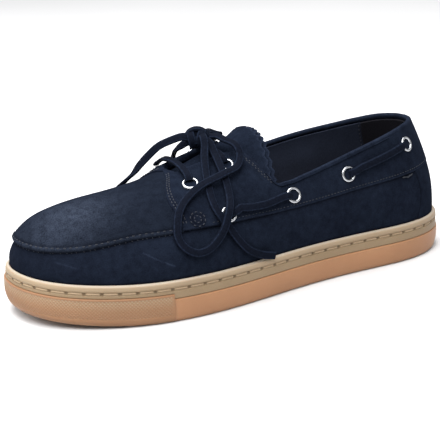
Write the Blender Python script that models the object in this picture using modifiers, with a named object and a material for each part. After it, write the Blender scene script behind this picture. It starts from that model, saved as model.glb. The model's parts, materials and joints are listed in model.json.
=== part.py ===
"""Boat shoe for the left foot: gum cupsole, moccasin upper, tongue, footbed, eyelets and leather lace.

Metres, +Z up. The toe points along +X and the outer side of the foot lies along +Y. The sole
stands on z = 0, and its box is centred on the origin.
"""
import math

import bmesh
import bpy
import numpy as np
from mathutils import Matrix, Vector

# Sole sizes
SOLE_LENGTH = 0.300
BALL_WIDTH = 0.107
SIDE_HEIGHT = 0.0250
TOE_SPRING = 0.0048
SPRING_START = 0.72
SIDE_WALL = 0.0034
CUP_FLOOR = 0.0080
GUM_HEIGHT = 0.0143
EDGE_BEVEL = 0.0026
BUMPER_PROUD = 0.0005
BUMPER_END = 0.688
BUMPER_DROP = 0.0029
GROOVE_DROP = 0.0047
GROOVE_WIDTH = 0.0011
GROOVE_DEPTH = 0.0010
SIDE_LIP = 0.0014
GROOVE_HEIGHT = SIDE_HEIGHT - GROOVE_DROP
BUMPER_HEIGHT = GROOVE_HEIGHT - BUMPER_DROP
BARREL_WIDEST = 0.0105
BARREL_FOOT = 0.0032
BARREL_TOP = 0.0016
TOE_ROCKER = 0.0010
HEEL_TUCK = 0.0012
TOE_TUCK = 0.0006
TREAD_DEPTH = 0.0012
TREAD_BORDER = 0.0080
SIPE_WIDTH = 0.0016
SIPE_PITCH = 0.0110

# Rounding of the sole's side: share left along the flanks, and the shares round the edge where
# the heel's rounding ends and the toe's begins
FLANK_ROUNDING = 0.3
HEEL_ROUNDING_END = 0.14
TOE_ROUNDING_START = 0.72

# Underside, as shares: the arch of the way round the edge, the sipes of the length
ARCH = (0.36, 0.53)
SIPE_ZONES = ((0.075, 0.300), (0.575, 0.700))

# Upper sizes; heights of the upper count from the sole's edge
HEEL_RISE = 0.0625
INSTEP_RISE = 0.0675
WALL = 0.0020
PLUG_STEP = 0.0014
PLUG_PUFF = 0.0013
SADDLE_STEP = 0.0024
COLLAR_STEP = 0.0010
FIT = 0.0003

# Tongue and footbed sizes
TONGUE_WALL = 0.0022
TONGUE_GAP = 0.0009
TOOTH_DEPTH = 0.0026
TONGUE_SHOULDER = 0.18
TONGUE_REACH = 0.0030
FOOTBED_THICKNESS = 0.0040
FOOTBED_EDGE = 0.0014

# Eyelet and lace sizes
EYELET_RADIUS = 0.0050
EYELET_BARREL = 0.0034
EYELET_BORE = 0.0029
EYELET_LIP = 0.0008
LACE_WIDTH = 0.0044
LACE_THICKNESS = 0.0020
LACE_RISE = 0.0006
CORD_RADIUS = 0.00145
KNOT_CENTRE = (0.0240, -0.0010, 0.0929)
KNOT_SIZE = (0.0120, 0.0104, 0.0116)

# Sole outline: share of the length, share of the ball width (outer side positive)
OUTLINE = (
    (0.000, 0.000), (0.035, 0.224), (0.130, 0.359), (0.250, 0.384), (0.380, 0.409),
    (0.500, 0.465), (0.620, 0.520), (0.740, 0.520), (0.850, 0.443), (0.940, 0.300),
    (0.985, 0.136), (1.000, -0.056), (0.985, -0.234), (0.940, -0.346), (0.850, -0.430),
    (0.730, -0.472), (0.600, -0.430), (0.420, -0.337), (0.250, -0.341), (0.130, -0.355),
    (0.035, -0.224),
)
TOE_ROW = 11

# Landmarks round the edge, as shares of the way from the heel (0) to the toe (1) on each side
CORNER = 0.462
FLAP_TOP = 0.497
FLAP_FRONT = 0.640
THROAT = 0.650
LACE_CROSSING = 0.628
SADDLE_FRONT = 0.665

# Topline of the upper, a row for each section: share round the edge; x as a share of the
# length; y on the outer and inner side as shares of the ball width; rise on the outer and
# inner side as shares of the heel rise; lean of the wall from upright at the top, in degrees
TOPLINE = (
    (0.000, 0.070, 0.000, 0.000, 1.000, 1.000, 25),
    (0.050, 0.077, 0.073, -0.073, 1.002, 0.998, 24),
    (0.100, 0.102, 0.150, -0.150, 0.998, 0.986, 22),
    (0.165, 0.147, 0.224, -0.226, 0.975, 0.945, 20),
    (0.230, 0.203, 0.270, -0.272, 0.925, 0.902, 19),
    (0.290, 0.270, 0.297, -0.290, 0.857, 0.866, 20),
    (0.345, 0.333, 0.312, -0.294, 0.785, 0.825, 22),
    (0.400, 0.400, 0.322, -0.294, 0.710, 0.770, 26),
    (0.440, 0.445, 0.324, -0.292, 0.668, 0.730, 30),
    (0.462, 0.470, 0.316, -0.285, 0.676, 0.722, 36),
    (0.480, 0.490, 0.234, -0.215, 0.800, 0.832, 52),
    (0.497, 0.512, 0.145, -0.136, 0.912, 0.926, 68),
    (0.515, 0.533, 0.112, -0.107, 0.922, 0.928, 73),
    (0.570, 0.593, 0.093, -0.089, 0.862, 0.866, 78),
    (0.640, 0.647, 0.084, -0.079, 0.792, 0.794, 80),
)

# Ridge of the vamp: share of the length, y as a share of the ball width, share of the instep rise
RIDGE = (
    (0.655, 0.000, 0.729), (0.677, 0.003, 0.697), (0.713, 0.007, 0.656), (0.760, 0.009, 0.620),
    (0.823, 0.000, 0.582), (0.873, -0.019, 0.556),
)

# Ridge of the tongue, in the same terms
TONGUE_RIDGE = (
    (0.440, -0.010, 1.085), (0.513, -0.005, 0.957), (0.553, 0.000, 0.880),
    (0.600, 0.000, 0.792), (0.650, 0.000, 0.684),
)

# Seam between the wall and what lies over it, a row for each section: share round the edge;
# height over the sole's edge as a share of the heel rise; inset from the foot on the outer and
# inner side as shares of the ball width; lean of the skin from upright there on the outer and
# inner side, and outward flare at the foot, in degrees
SEAM = (
    (0.000, 0.552, 0.048, 0.048, 19, 19, 0),
    (0.100, 0.535, 0.037, 0.040, 16, 17, 1),
    (0.165, 0.515, 0.022, 0.024, 13, 13, 3),
    (0.230, 0.494, 0.008, 0.002, 9, 7, 5),
    (0.290, 0.472, 0.000, -0.015, 7, 2, 6),
    (0.345, 0.447, -0.002, -0.021, 8, 0, 6),
    (0.400, 0.425, 0.004, -0.019, 10, 2, 6),
    (0.462, 0.414, 0.017, -0.007, 16, 8, 6),
    (0.515, 0.414, 0.032, 0.019, 22, 19, 6),
    (0.580, 0.410, 0.052, 0.054, 29, 32, 5),
    (0.640, 0.406, 0.073, 0.094, 36, 45, 5),
    (0.700, 0.397, 0.090, 0.110, 42, 50, 4),
    (0.743, 0.386, 0.096, 0.106, 44, 48, 4),
    (0.787, 0.355, 0.085, 0.090, 43, 45, 4),
    (0.834, 0.323, 0.067, 0.065, 41, 40, 4),
    (0.910, 0.302, 0.050, 0.052, 39, 40, 5),
    (1.000, 0.306, 0.038, 0.038, 34, 34, 5),
)
HANDLE = 0.38

# Rows of the upper's skin: share of the way from foot to seam, or from seam to top, and whether
# the row lies on the overlay above the seam
WALL_ROWS = (0.0, 0.35, 0.7, 1.0)
OVERLAY_ROWS = (0.03, 0.18, 0.42, 0.66, 0.84, 1.0)

# Eyelets: name, share round the edge, share of the way from seam to top on the outer and inner side
EYELETS = (
    ("front", 0.626, 0.640, 0.560),
    ("rear", 0.540, 0.753, 0.715),
    ("side_front", 0.566, 0.091, 0.091),
    ("side_middle", 0.432, 0.435, 0.435),
    ("side_back", 0.315, 0.472, 0.472),
    ("side_heel", 0.155, 0.600, 0.600),
)
SIDES = ("outer", "inner")

# Free laces: hand-placed points in the world, leaving the knot
NEAR_LOOP = (
    (0.0180, 0.0020, 0.0938), (0.0158, 0.0048, 0.0940), (0.0140, 0.0100, 0.0928),
    (0.0100, 0.0180, 0.0900), (0.0100, 0.0230, 0.0845), (0.0150, 0.0275, 0.0795),
    (0.0245, 0.0305, 0.0777), (0.0320, 0.0315, 0.0758), (0.0380, 0.0320, 0.0743),
    (0.0425, 0.0320, 0.0724), (0.0505, 0.0333, 0.0680), (0.0587, 0.0380, 0.0622),
    (0.0627, 0.0425, 0.0555), (0.0640, 0.0458, 0.0482), (0.0610, 0.0490, 0.0425),
    (0.0545, 0.0508, 0.0390), (0.0470, 0.0508, 0.0400), (0.0400, 0.0500, 0.0450),
    (0.0358, 0.0500, 0.0513), (0.0318, 0.0482, 0.0602), (0.0272, 0.0404, 0.0654),
    (0.0245, 0.0307, 0.0739), (0.0232, 0.0208, 0.0813), (0.0222, 0.0120, 0.0873),
    (0.0222, 0.0080, 0.0908), (0.0226, 0.0050, 0.0924),
)
NEAR_END = (
    (0.0256, 0.0047, 0.0955), (0.0262, 0.0075, 0.0948), (0.0270, 0.0105, 0.0910),
    (0.0290, 0.0135, 0.0868), (0.0312, 0.0180, 0.0820), (0.0334, 0.0233, 0.0769),
    (0.0367, 0.0333, 0.0698), (0.0376, 0.0411, 0.0621), (0.0354, 0.0457, 0.0557),
    (0.0309, 0.0472, 0.0488), (0.0265, 0.0488, 0.0415), (0.0200, 0.0492, 0.0343),
    (0.0110, 0.0482, 0.0295), (0.0015, 0.0476, 0.0270),
)
FAR_LOOP = (
    (0.0184, -0.0038, 0.0950), (0.0156, -0.0064, 0.0948), (0.0096, -0.0110, 0.0928),
    (0.0038, -0.0160, 0.0900), (0.0014, -0.0212, 0.0868), (0.0040, -0.0266, 0.0831),
    (0.0107, -0.0303, 0.0783), (0.0188, -0.0336, 0.0726), (0.0278, -0.0365, 0.0661),
    (0.0355, -0.0378, 0.0626), (0.0451, -0.0392, 0.0587), (0.0525, -0.0424, 0.0541),
    (0.0564, -0.0448, 0.0500), (0.0568, -0.0471, 0.0460), (0.0535, -0.0490, 0.0415),
    (0.0475, -0.0500, 0.0388), (0.0410, -0.0490, 0.0400), (0.0350, -0.0475, 0.0445),
    (0.0305, -0.0475, 0.0502), (0.0270, -0.0462, 0.0585), (0.0250, -0.0418, 0.0668),
    (0.0262, -0.0352, 0.0748), (0.0295, -0.0262, 0.0802), (0.0318, -0.0185, 0.0838),
    (0.0312, -0.0130, 0.0868), (0.0288, -0.0098, 0.0893), (0.0265, -0.0070, 0.0915),
)
FAR_END = (
    (0.0304, -0.0020, 0.0936), (0.0345, -0.0040, 0.0945), (0.0400, -0.0080, 0.0924),
    (0.0470, -0.0120, 0.0888), (0.0520, -0.0155, 0.0835), (0.0575, -0.0185, 0.0770),
    (0.0610, -0.0215, 0.0714), (0.0640, -0.0270, 0.0660), (0.0658, -0.0338, 0.0606),
    (0.0672, -0.0405, 0.0540), (0.0680, -0.0462, 0.0462), (0.0672, -0.0500, 0.0388),
    (0.0630, -0.0515, 0.0330), (0.0570, -0.0518, 0.0300),
)

# How finely the faces are cut
STEP_PAIR = 0.0008
BACK_COLUMNS = 14
CORNER_COLUMNS = 4
FLAP_COLUMNS = 7
TOE_COLUMNS = 13
CURVE_STEPS = 36
TONGUE_COUNT = 25
TURNED_STEPS = 12
RING_SIDES = 8
LACE_STOPS = 7


def smooth(keys, values, at):
    """Reads a smooth curve through a table's rows at one place."""
    keys = np.asarray(keys, dtype=float)
    values = np.asarray(values, dtype=float)
    slopes = np.gradient(values, keys, axis=0)
    row = int(np.clip(np.searchsorted(keys, at) - 1, 0, len(keys) - 2))
    span = keys[row + 1] - keys[row]
    t = (at - keys[row]) / span
    start = (1 + 2 * t) * (1 - t) ** 2 * values[row] + t * (1 - t) ** 2 * span * slopes[row]
    end = t * t * (3 - 2 * t) * values[row + 1] + t * t * (t - 1) * span * slopes[row + 1]
    return start + end


def closed_curve(points, steps):
    """A closed cubic spline through the points, as evenly counted samples for each span."""
    points = np.asarray(points, dtype=float)
    count = len(points)
    chords = np.sqrt(np.linalg.norm(np.roll(points, -1, axis=0) - points, axis=1))
    matrix = np.zeros((count, count))
    target = np.zeros((count, 2))
    for i in range(count):
        before, after = chords[i - 1], chords[i]
        matrix[i, i - 1] += 1 / before
        matrix[i, i] += 2 * (1 / before + 1 / after)
        matrix[i, (i + 1) % count] += 1 / after
        rise_before = (points[i] - points[i - 1]) / before ** 2
        rise_after = (points[(i + 1) % count] - points[i]) / after ** 2
        target[i] = 3 * (rise_before + rise_after)
    slopes = np.linalg.solve(matrix, target)
    samples = []
    for i in range(count):
        following = (i + 1) % count
        for t in np.arange(steps) / steps:
            start = (1 + 2 * t) * (1 - t) ** 2 * points[i] + t * (1 - t) ** 2 * chords[i] * slopes[i]
            end = t * t * (3 - 2 * t) * points[following]
            end = end + t * t * (t - 1) * chords[i] * slopes[following]
            samples.append(start + end)
    return np.array(samples)


EDGE = closed_curve([(x * SOLE_LENGTH, y * BALL_WIDTH) for x, y in OUTLINE], CURVE_STEPS)
TOE_INDEX = TOE_ROW * CURVE_STEPS
CENTRE = (EDGE.max(axis=0) + EDGE.min(axis=0)) / 2
HALF_EDGES = {
    "outer": EDGE[:TOE_INDEX + 1],
    "inner": np.vstack([EDGE[:1], EDGE[:TOE_INDEX - 1:-1]]),
}


def edge(side, share, inset):
    """A point of the outline, moved inwards, at a share of the way from heel to toe."""
    line = HALF_EDGES[side]
    lengths = np.concatenate([[0], np.cumsum(np.linalg.norm(np.diff(line, axis=0), axis=1))])
    at = share * lengths[-1]
    reach = 0.004
    point = np.array([np.interp(at, lengths, line[:, k]) for k in (0, 1)])
    ahead = np.array([np.interp(at + reach, lengths, line[:, k]) for k in (0, 1)])
    behind = np.array([np.interp(at - reach, lengths, line[:, k]) for k in (0, 1)])
    if share <= 0:
        behind = ahead * (1, -1)
    if share >= 1:
        ahead = point + (point - behind) * (-1, 1)
    along = (ahead - behind) / np.linalg.norm(ahead - behind)
    turn = 1 if side == "outer" else -1
    inwards = np.array([along[1], -along[0]]) * turn
    return point + inwards * inset


def spring(x):
    """Lift of the sole at the toe."""
    reach = (x / SOLE_LENGTH - SPRING_START) / (1 - SPRING_START)
    return TOE_SPRING * max(0.0, reach) ** 2


def ease(value, low, high):
    """Rises smoothly from 0 at low to 1 at high."""
    t = min(max((value - low) / (high - low), 0.0), 1.0)
    return t * t * (3 - 2 * t)


def heel_weight(share):
    return 1 - ease(share, 0.0, HEEL_ROUNDING_END)


def toe_weight(share):
    return ease(share, TOE_ROUNDING_START, 1.0)


def barrel(share, height):
    """How far the sole's side is tucked in at a height, most at the heel and the toe."""
    ends = max(heel_weight(share), toe_weight(share))
    weight = FLANK_ROUNDING + (1 - FLANK_ROUNDING) * ends
    low = max(0.0, 1 - height / BARREL_WIDEST) ** 2 * BARREL_FOOT
    high = max(0.0, (height - BARREL_WIDEST) / (SIDE_HEIGHT - BARREL_WIDEST)) ** 2 * BARREL_TOP
    return weight * (low + high)


def wall_inset(share):
    """Inset of the sole's inner face, a little more where the heel and the toe are tucked in."""
    return SIDE_WALL + HEEL_TUCK * heel_weight(share) + TOE_TUCK * toe_weight(share)


def stations(shares):
    """Columns round the whole edge: up the outer side to the toe and back along the inner side."""
    outer = [("outer", share) for share in shares]
    inner = [("inner", share) for share in reversed(shares[1:-1])]
    return outer + inner


class Shell:
    """Collects points and faces, then makes one object."""

    def __init__(self):
        self.points = []
        self.faces = []

    def add(self, point):
        x, y, z = point
        self.points.append((x - CENTRE[0], y - CENTRE[1], z))
        return len(self.points) - 1

    def ring(self, points):
        return [self.add(point) for point in points]

    def bridge(self, low, high, closed=True):
        count = len(low)
        for i in range(count if closed else count - 1):
            j = (i + 1) % count
            corners = [low[i], low[j], high[j], high[i]]
            corners = list(dict.fromkeys(corners))
            if len(corners) > 2:
                self.faces.append(corners)

    def ladder(self, ring):
        """Closes a ring with rungs between its outer and its inner side."""
        count = len(ring)
        half = count // 2
        for i in range(half):
            corners = [ring[i], ring[i + 1], ring[(count - i - 1) % count], ring[(count - i) % count]]
            corners = list(dict.fromkeys(corners))
            self.faces.append(corners)

    def make(self, name, material, smooth_angle=40):
        mesh = bpy.data.meshes.new(name)
        mesh.from_pydata(self.points, [], self.faces)
        return finish_mesh(name, mesh, material, smooth_angle)


def finish_mesh(name, mesh, material, smooth_angle=40):
    """Turns a mesh's faces outwards and puts it in the shoe's collection."""
    cage = bmesh.new()
    cage.from_mesh(mesh)
    bmesh.ops.triangulate(cage, faces=cage.faces[:])
    bmesh.ops.recalc_face_normals(cage, faces=cage.faces[:])
    cage.to_mesh(mesh)
    cage.free()
    mesh.shade_smooth()
    mesh.set_sharp_from_angle(angle=math.radians(smooth_angle))
    if material:
        mesh.materials.append(material)
    obj = bpy.data.objects.new(name, mesh)
    SHOE.objects.link(obj)
    return obj


def material(name, colour, roughness, metallic=0.0):
    made = bpy.data.materials.new(name)
    made.use_nodes = True
    shader = made.node_tree.nodes["Principled BSDF"]
    shader.inputs["Base Color"].default_value = (*colour, 1)
    shader.inputs["Roughness"].default_value = roughness
    shader.inputs["Metallic"].default_value = metallic
    made.diffuse_color = (*colour, 1)
    return made


def as_cutter(obj):
    """Hides an object that only cuts others."""
    SHOE.objects.unlink(obj)
    CUTTERS.objects.link(obj)
    obj.hide_render = True
    obj.display_type = "WIRE"
    return obj


def cut(obj, cutter):
    modifier = obj.modifiers.new("cut by " + cutter.name, "BOOLEAN")
    modifier.operation = "DIFFERENCE"
    modifier.object = cutter


# Sole

def sole_stations():
    """The upper's columns, so that the pieces nest, with a close pair where the toe bumper ends."""
    shares = upper_shares() + [BUMPER_END - STEP_PAIR, BUMPER_END + STEP_PAIR]
    return stations(sorted(shares))


def side_ring(columns, inset, height, bumper_height, proud=0.0):
    """A ring on the sole's side; on the bumper it stands proud, at its own height."""
    points = []
    for side, share in columns:
        bumper = share > BUMPER_END
        level = bumper_height if bumper else height
        x, y = edge(side, share, inset - (proud if bumper else 0.0) + barrel(share, level))
        rocker = TOE_ROCKER * toe_weight(share) * max(0.0, 1 - level / BARREL_WIDEST)
        points.append((x, y, level + spring(x) + rocker))
    return points


def inner_ring(columns, gap, height, bumper_height=None):
    """A ring inside the sole's inner face, at a gap from it."""
    points = []
    for side, share in columns:
        level = bumper_height if bumper_height and share > BUMPER_END else height
        x, y = edge(side, share, wall_inset(share) + gap)
        points.append((x, y, level + spring(x)))
    return points


def make_outsole():
    columns = sole_stations()
    shell = Shell()
    rings = [
        side_ring(columns, EDGE_BEVEL, 0.0, 0.0),
        side_ring(columns, BUMPER_PROUD, EDGE_BEVEL, EDGE_BEVEL, BUMPER_PROUD),
        side_ring(columns, BUMPER_PROUD, GUM_HEIGHT, BUMPER_HEIGHT, BUMPER_PROUD),
        inner_ring(columns, 0.0, GUM_HEIGHT, BUMPER_HEIGHT),
        inner_ring(columns, 0.0, CUP_FLOOR),
    ]
    loops = [shell.ring(ring) for ring in rings]
    for low, high in zip(loops, loops[1:]):
        shell.bridge(low, high)
    shell.ladder(loops[0])
    shell.ladder(loops[-1])
    outsole = shell.make("outsole", GUM)
    for cutter in make_tread_cutters():
        cut(outsole, cutter)
    return outsole


def make_tread_cutters():
    """A shallow arch under the waist, and rows of sipes under heel and forefoot."""
    cutters = []
    shell = Shell()
    shares = np.linspace(*ARCH, 7)
    path = [edge("outer", share, TREAD_BORDER) for share in shares]
    path += [edge("inner", share, TREAD_BORDER) for share in shares[::-1]]
    low = shell.ring([(x, y, -TREAD_DEPTH) for x, y in path])
    high = shell.ring([(x, y, TREAD_DEPTH) for x, y in path])
    shell.bridge(low, high)
    count = len(low)
    for loop in (low, high):
        for i in range(count // 2 - 1):
            shell.faces.append([loop[i], loop[i + 1], loop[count - 2 - i], loop[count - 1 - i]])
    cutters.append(as_cutter(shell.make("arch_cutter", None)))
    for start, end in SIPE_ZONES:
        count = int((end - start) * SOLE_LENGTH / SIPE_PITCH)
        for i in range(count):
            x = start * SOLE_LENGTH + i * SIPE_PITCH
            cutters.append(make_sipe_cutter(f"sipe_cutter_{len(cutters)}", x))
    return cutters


def width_at(x, inset):
    """The sole's inner and outer edge at a length, moved inwards."""
    limits = []
    for side in SIDES:
        line = HALF_EDGES[side]
        limits.append(float(np.interp(x, line[:, 0], line[:, 1])))
    return limits[1] + inset, limits[0] - inset


def make_sipe_cutter(name, x):
    low, high = width_at(x, TREAD_BORDER)
    cage = bmesh.new()
    bmesh.ops.create_cube(cage, size=1.0)
    size = Vector((SIPE_WIDTH, high - low, 2 * TREAD_DEPTH))
    bmesh.ops.scale(cage, vec=size, verts=cage.verts)
    place = Vector((x - CENTRE[0], (low + high) / 2 - CENTRE[1], 0.0))
    bmesh.ops.translate(cage, vec=place, verts=cage.verts)
    mesh = bpy.data.meshes.new(name)
    cage.to_mesh(mesh)
    cage.free()
    return as_cutter(finish_mesh(name, mesh, None))


def make_sidewall():
    """The pale band over the gum, with the stitch groove round it."""
    columns = sole_stations()
    groove_foot = GROOVE_HEIGHT - GROOVE_WIDTH / 2
    groove_top = GROOVE_HEIGHT + GROOVE_WIDTH
    face = 2 * BUMPER_PROUD
    profile = (
        (face, GUM_HEIGHT + FIT, BUMPER_HEIGHT + FIT),
        (face, groove_foot, groove_foot),
        (face + GROOVE_DEPTH, GROOVE_HEIGHT, GROOVE_HEIGHT),
        (BUMPER_PROUD, groove_top, groove_top),
        (BUMPER_PROUD, SIDE_HEIGHT - SIDE_LIP, SIDE_HEIGHT - SIDE_LIP),
        (BUMPER_PROUD + SIDE_LIP, SIDE_HEIGHT, SIDE_HEIGHT),
    )
    rings = [side_ring(columns, *row) for row in profile]
    rings.insert(0, inner_ring(columns, 0.0, GUM_HEIGHT + FIT, BUMPER_HEIGHT + FIT))
    rings.append(inner_ring(columns, 0.0, SIDE_HEIGHT))
    shell = Shell()
    loops = [shell.ring(ring) for ring in rings]
    for low, high in zip(loops, loops[1:] + loops[:1]):
        shell.bridge(low, high)
    return shell.make("sidewall", BEIGE)


def make_footbed():
    columns = stations(upper_shares())
    gap = FIT + WALL + FIT
    low = CUP_FLOOR + FIT
    rings = [
        inner_ring(columns, gap, low),
        inner_ring(columns, gap, low + FOOTBED_THICKNESS - FOOTBED_EDGE),
        inner_ring(columns, gap + FOOTBED_EDGE, low + FOOTBED_THICKNESS),
    ]
    shell = Shell()
    loops = [shell.ring(ring) for ring in rings]
    for first, second in zip(loops, loops[1:]):
        shell.bridge(first, second)
    shell.ladder(loops[0])
    shell.ladder(loops[-1])
    return shell.make("footbed", LINING)


# Upper

def ridge_point(table, x):
    keys = [row[0] * SOLE_LENGTH for row in table]
    y = smooth(keys, [row[1] * BALL_WIDTH for row in table], x)
    z = smooth(keys, [row[2] * INSTEP_RISE for row in table], x)
    return np.array([x, float(y), SIDE_HEIGHT + float(z)])


def topline_point(side, share):
    keys = [row[0] for row in TOPLINE]
    outer = side == "outer"
    x = smooth(keys, [row[1] * SOLE_LENGTH for row in TOPLINE], share)
    y = smooth(keys, [row[2 if outer else 3] * BALL_WIDTH for row in TOPLINE], share)
    z = smooth(keys, [row[4 if outer else 5] * HEEL_RISE for row in TOPLINE], share)
    return np.array([float(x), float(y), SIDE_HEIGHT + float(z)])


def seam_value(share, column):
    """A column of the seam's table at a share round the edge."""
    return float(smooth([row[0] for row in SEAM], [row[column] for row in SEAM], share))


def ridge_share(share):
    """Where a column of the vamp meets the ridge: the columns fan out round the toe."""
    start = RIDGE[0][0] * SOLE_LENGTH
    end = RIDGE[-1][0] * SOLE_LENGTH
    return start + (end - start) * (share - THROAT) / (1 - THROAT)


def curve_between(start, start_lean, end, end_direction):
    """Control points of a cubic that leaves and arrives in the given directions."""
    reach = np.linalg.norm(end - start) * HANDLE
    return start, start + start_lean * reach, end - end_direction * reach, end


def leaning(horizontal, degrees):
    """A unit direction that leans from upright towards a horizontal direction."""
    lean = math.radians(degrees)
    direction = np.array([*horizontal, 0.0]) * math.sin(lean)
    direction[2] = math.cos(lean)
    return direction


def column(side, share):
    """One column of the upper as two cubics: foot to seam, and seam to top."""
    outer = side == "outer"
    inset = wall_inset(share) + FIT
    seam_inset = BALL_WIDTH * seam_value(share, 2 if outer else 3)
    seam_lean = seam_value(share, 4 if outer else 5)
    x, y = edge(side, share, inset)
    foot = np.array([x, y, SIDE_HEIGHT + spring(x)])
    inwards = edge(side, share, 1.0) - edge(side, share, 0.0)
    seam_height = SIDE_HEIGHT + HEEL_RISE * seam_value(share, 1)
    seam = np.array([*edge(side, share, inset + seam_inset), seam_height])
    wall = curve_between(foot, leaning(-inwards, seam_value(share, 6)), seam, leaning(inwards, seam_lean))
    if share >= THROAT - 1e-9:
        top = ridge_point(RIDGE, ridge_share(share))
        nearby = ridge_point(RIDGE, ridge_share(share) - 0.002)
        run = (top - seam)[:2]
        heading = run / np.linalg.norm(run)
        arrival = np.array([*heading, heading[0] * (top[2] - nearby[2]) / (top[0] - nearby[0])])
    else:
        top = topline_point(side, share)
        heading = inwards
        lean = float(smooth([row[0] for row in TOPLINE], [row[6] for row in TOPLINE], share))
        arrival = leaning(inwards, lean)
    return wall, curve_between(seam, leaning(heading, seam_lean), top, arrival)


def along_column(controls, t):
    a, b, c, d = controls
    return (1 - t) ** 3 * a + 3 * (1 - t) ** 2 * t * b + 3 * (1 - t) * t * t * c + t ** 3 * d


def overlay(share):
    """How far the plug, saddle or collar stands proud of the wall below the seam."""
    if share > SADDLE_FRONT:
        return PLUG_STEP
    blend = np.clip((share - CORNER) / (FLAP_TOP - CORNER), 0, 1)
    return COLLAR_STEP + (SADDLE_STEP - COLLAR_STEP) * float(blend)


def puff(share, place):
    """Extra fullness of the plug over its seam, at the toe."""
    return PLUG_PUFF * ease(share, TOE_ROUNDING_START, 0.9) * (1 - ease(place, 0.2, 0.75))


def upper_shares():
    """Columns round each side, with one on each landmark and a pair at the saddle's front edge."""
    saddle = [SADDLE_FRONT - STEP_PAIR, SADDLE_FRONT + STEP_PAIR]
    back = list(np.linspace(0, CORNER, BACK_COLUMNS))
    corner = list(np.linspace(CORNER, FLAP_TOP, CORNER_COLUMNS)[1:])
    flap = list(np.linspace(FLAP_TOP, FLAP_FRONT, FLAP_COLUMNS)[1:])
    toe = list(np.linspace(saddle[1], 1, TOE_COLUMNS)[1:])
    return back + corner + flap + [THROAT] + saddle + toe


def skin_point(side, share, place):
    """A point of the bare last: place runs from -1 at the foot over 0 at the seam to 1 at the top."""
    wall, cover = column(side, share)
    return along_column(wall, 1 + place) if place < 0 else along_column(cover, place)


def skin_normal(side, share, place):
    reach = 0.006
    along = skin_point(side, share + reach, place) - skin_point(side, share - reach, place)
    up = skin_point(side, share, min(place + 0.05, 1)) - skin_point(side, share, place - 0.05)
    normal = np.cross(along, up) * (1 if side == "inner" else -1)
    return normal / np.linalg.norm(normal)


class Skin:
    """The last's surface as a grid of columns and rows, with the normal at each point."""

    def __init__(self):
        self.shares = upper_shares()
        self.columns = stations(self.shares)
        self.half = len(self.shares) - 1
        places = [share - 1 for share in WALL_ROWS] + list(OVERLAY_ROWS)
        self.seam_row = len(WALL_ROWS)
        self.rows = len(places) + 1
        self.throat = self.shares.index(THROAT)
        self.grid = []
        for side, share in self.columns:
            x, y = edge(side, share, wall_inset(share) + FIT)
            sunk = np.array([x, y, CUP_FLOOR + FIT + spring(x)])
            self.grid.append([sunk] + [skin_point(side, share, place) for place in places])
        self.measure_normals()

    def partner(self, i):
        """The column on the outer side that shares its top with column i."""
        shared = self.throat <= i <= 2 * self.half - self.throat
        return min(i, 2 * self.half - i) if shared else i

    def measure_normals(self):
        index = {}
        points = []
        for i, rows in enumerate(self.grid):
            for j, point in enumerate(rows):
                key = (self.partner(i), j) if j == self.rows - 1 else (i, j)
                if key not in index:
                    index[key] = len(points)
                    points.append(point)
        sums = np.zeros((len(points), 3))
        count = len(self.grid)
        for i in range(count):
            following = (i + 1) % count
            for j in range(self.rows - 1):
                corners = []
                for a, b in ((i, j), (following, j), (following, j + 1), (i, j + 1)):
                    corners.append(index[(self.partner(a), b) if b == self.rows - 1 else (a, b)])
                p, q, r, s = (np.asarray(points[c]) for c in corners)
                normal = np.cross(r - p, s - q)
                length = np.linalg.norm(normal)
                if length > 0:
                    for c in dict.fromkeys(corners):
                        sums[c] += normal / math.sqrt(length)
        lengths = np.linalg.norm(sums, axis=1)
        sums = sums / lengths[:, None]
        centre = np.mean(points, axis=0)
        if np.sum(np.einsum("ij,ij->i", sums, np.asarray(points) - centre)) < 0:
            sums = -sums
        self.normals = []
        for i in range(count):
            row = []
            for j in range(self.rows):
                key = (self.partner(i), j) if j == self.rows - 1 else (i, j)
                row.append(sums[index[key]])
            self.normals.append(row)

    def at(self, i, j, offset):
        return self.grid[i][j] + self.normals[i][j] * offset


def make_upper(skin):
    """One hollow solid: the outer skin with its steps, the inner skin, and the edges between."""
    shell = Shell()
    count = len(skin.grid)
    top = skin.rows - 1
    outer_rows = list(range(skin.rows))
    inner_rows = [0, 1, 3] + list(range(skin.seam_row + 1, top + 1))

    def layer(rows, offset_of):
        loops = []
        for j in rows:
            loop = []
            made = {}
            for i in range(count):
                key = skin.partner(i) if j == top else i
                if key not in made:
                    made[key] = shell.add(skin.at(key, j, offset_of(key, j)))
                loop.append(made[key])
            loops.append(loop)
        return loops

    def outside(i, j):
        if j <= skin.seam_row:
            return 0.0
        share = skin.columns[i][1]
        return overlay(share) + puff(share, OVERLAY_ROWS[j - skin.seam_row - 1])

    outer = layer(outer_rows, outside)
    inner = layer(inner_rows, lambda i, j: -WALL)
    for loops in (outer, inner):
        for low, high in zip(loops, loops[1:]):
            shell.bridge(low, high)
    shell.bridge(outer[0], inner[0])
    opening = [i for i in range(count) if not skin.throat <= i < count - skin.throat]
    for i in opening:
        following = (i + 1) % count
        shell.faces.append([outer[-1][i], outer[-1][following], inner[-1][following], inner[-1][i]])
    upper = shell.make("upper", SUEDE)
    for name, cutter in make_eyelet_cutters():
        cut(upper, cutter)
    return upper


# Tongue

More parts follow.
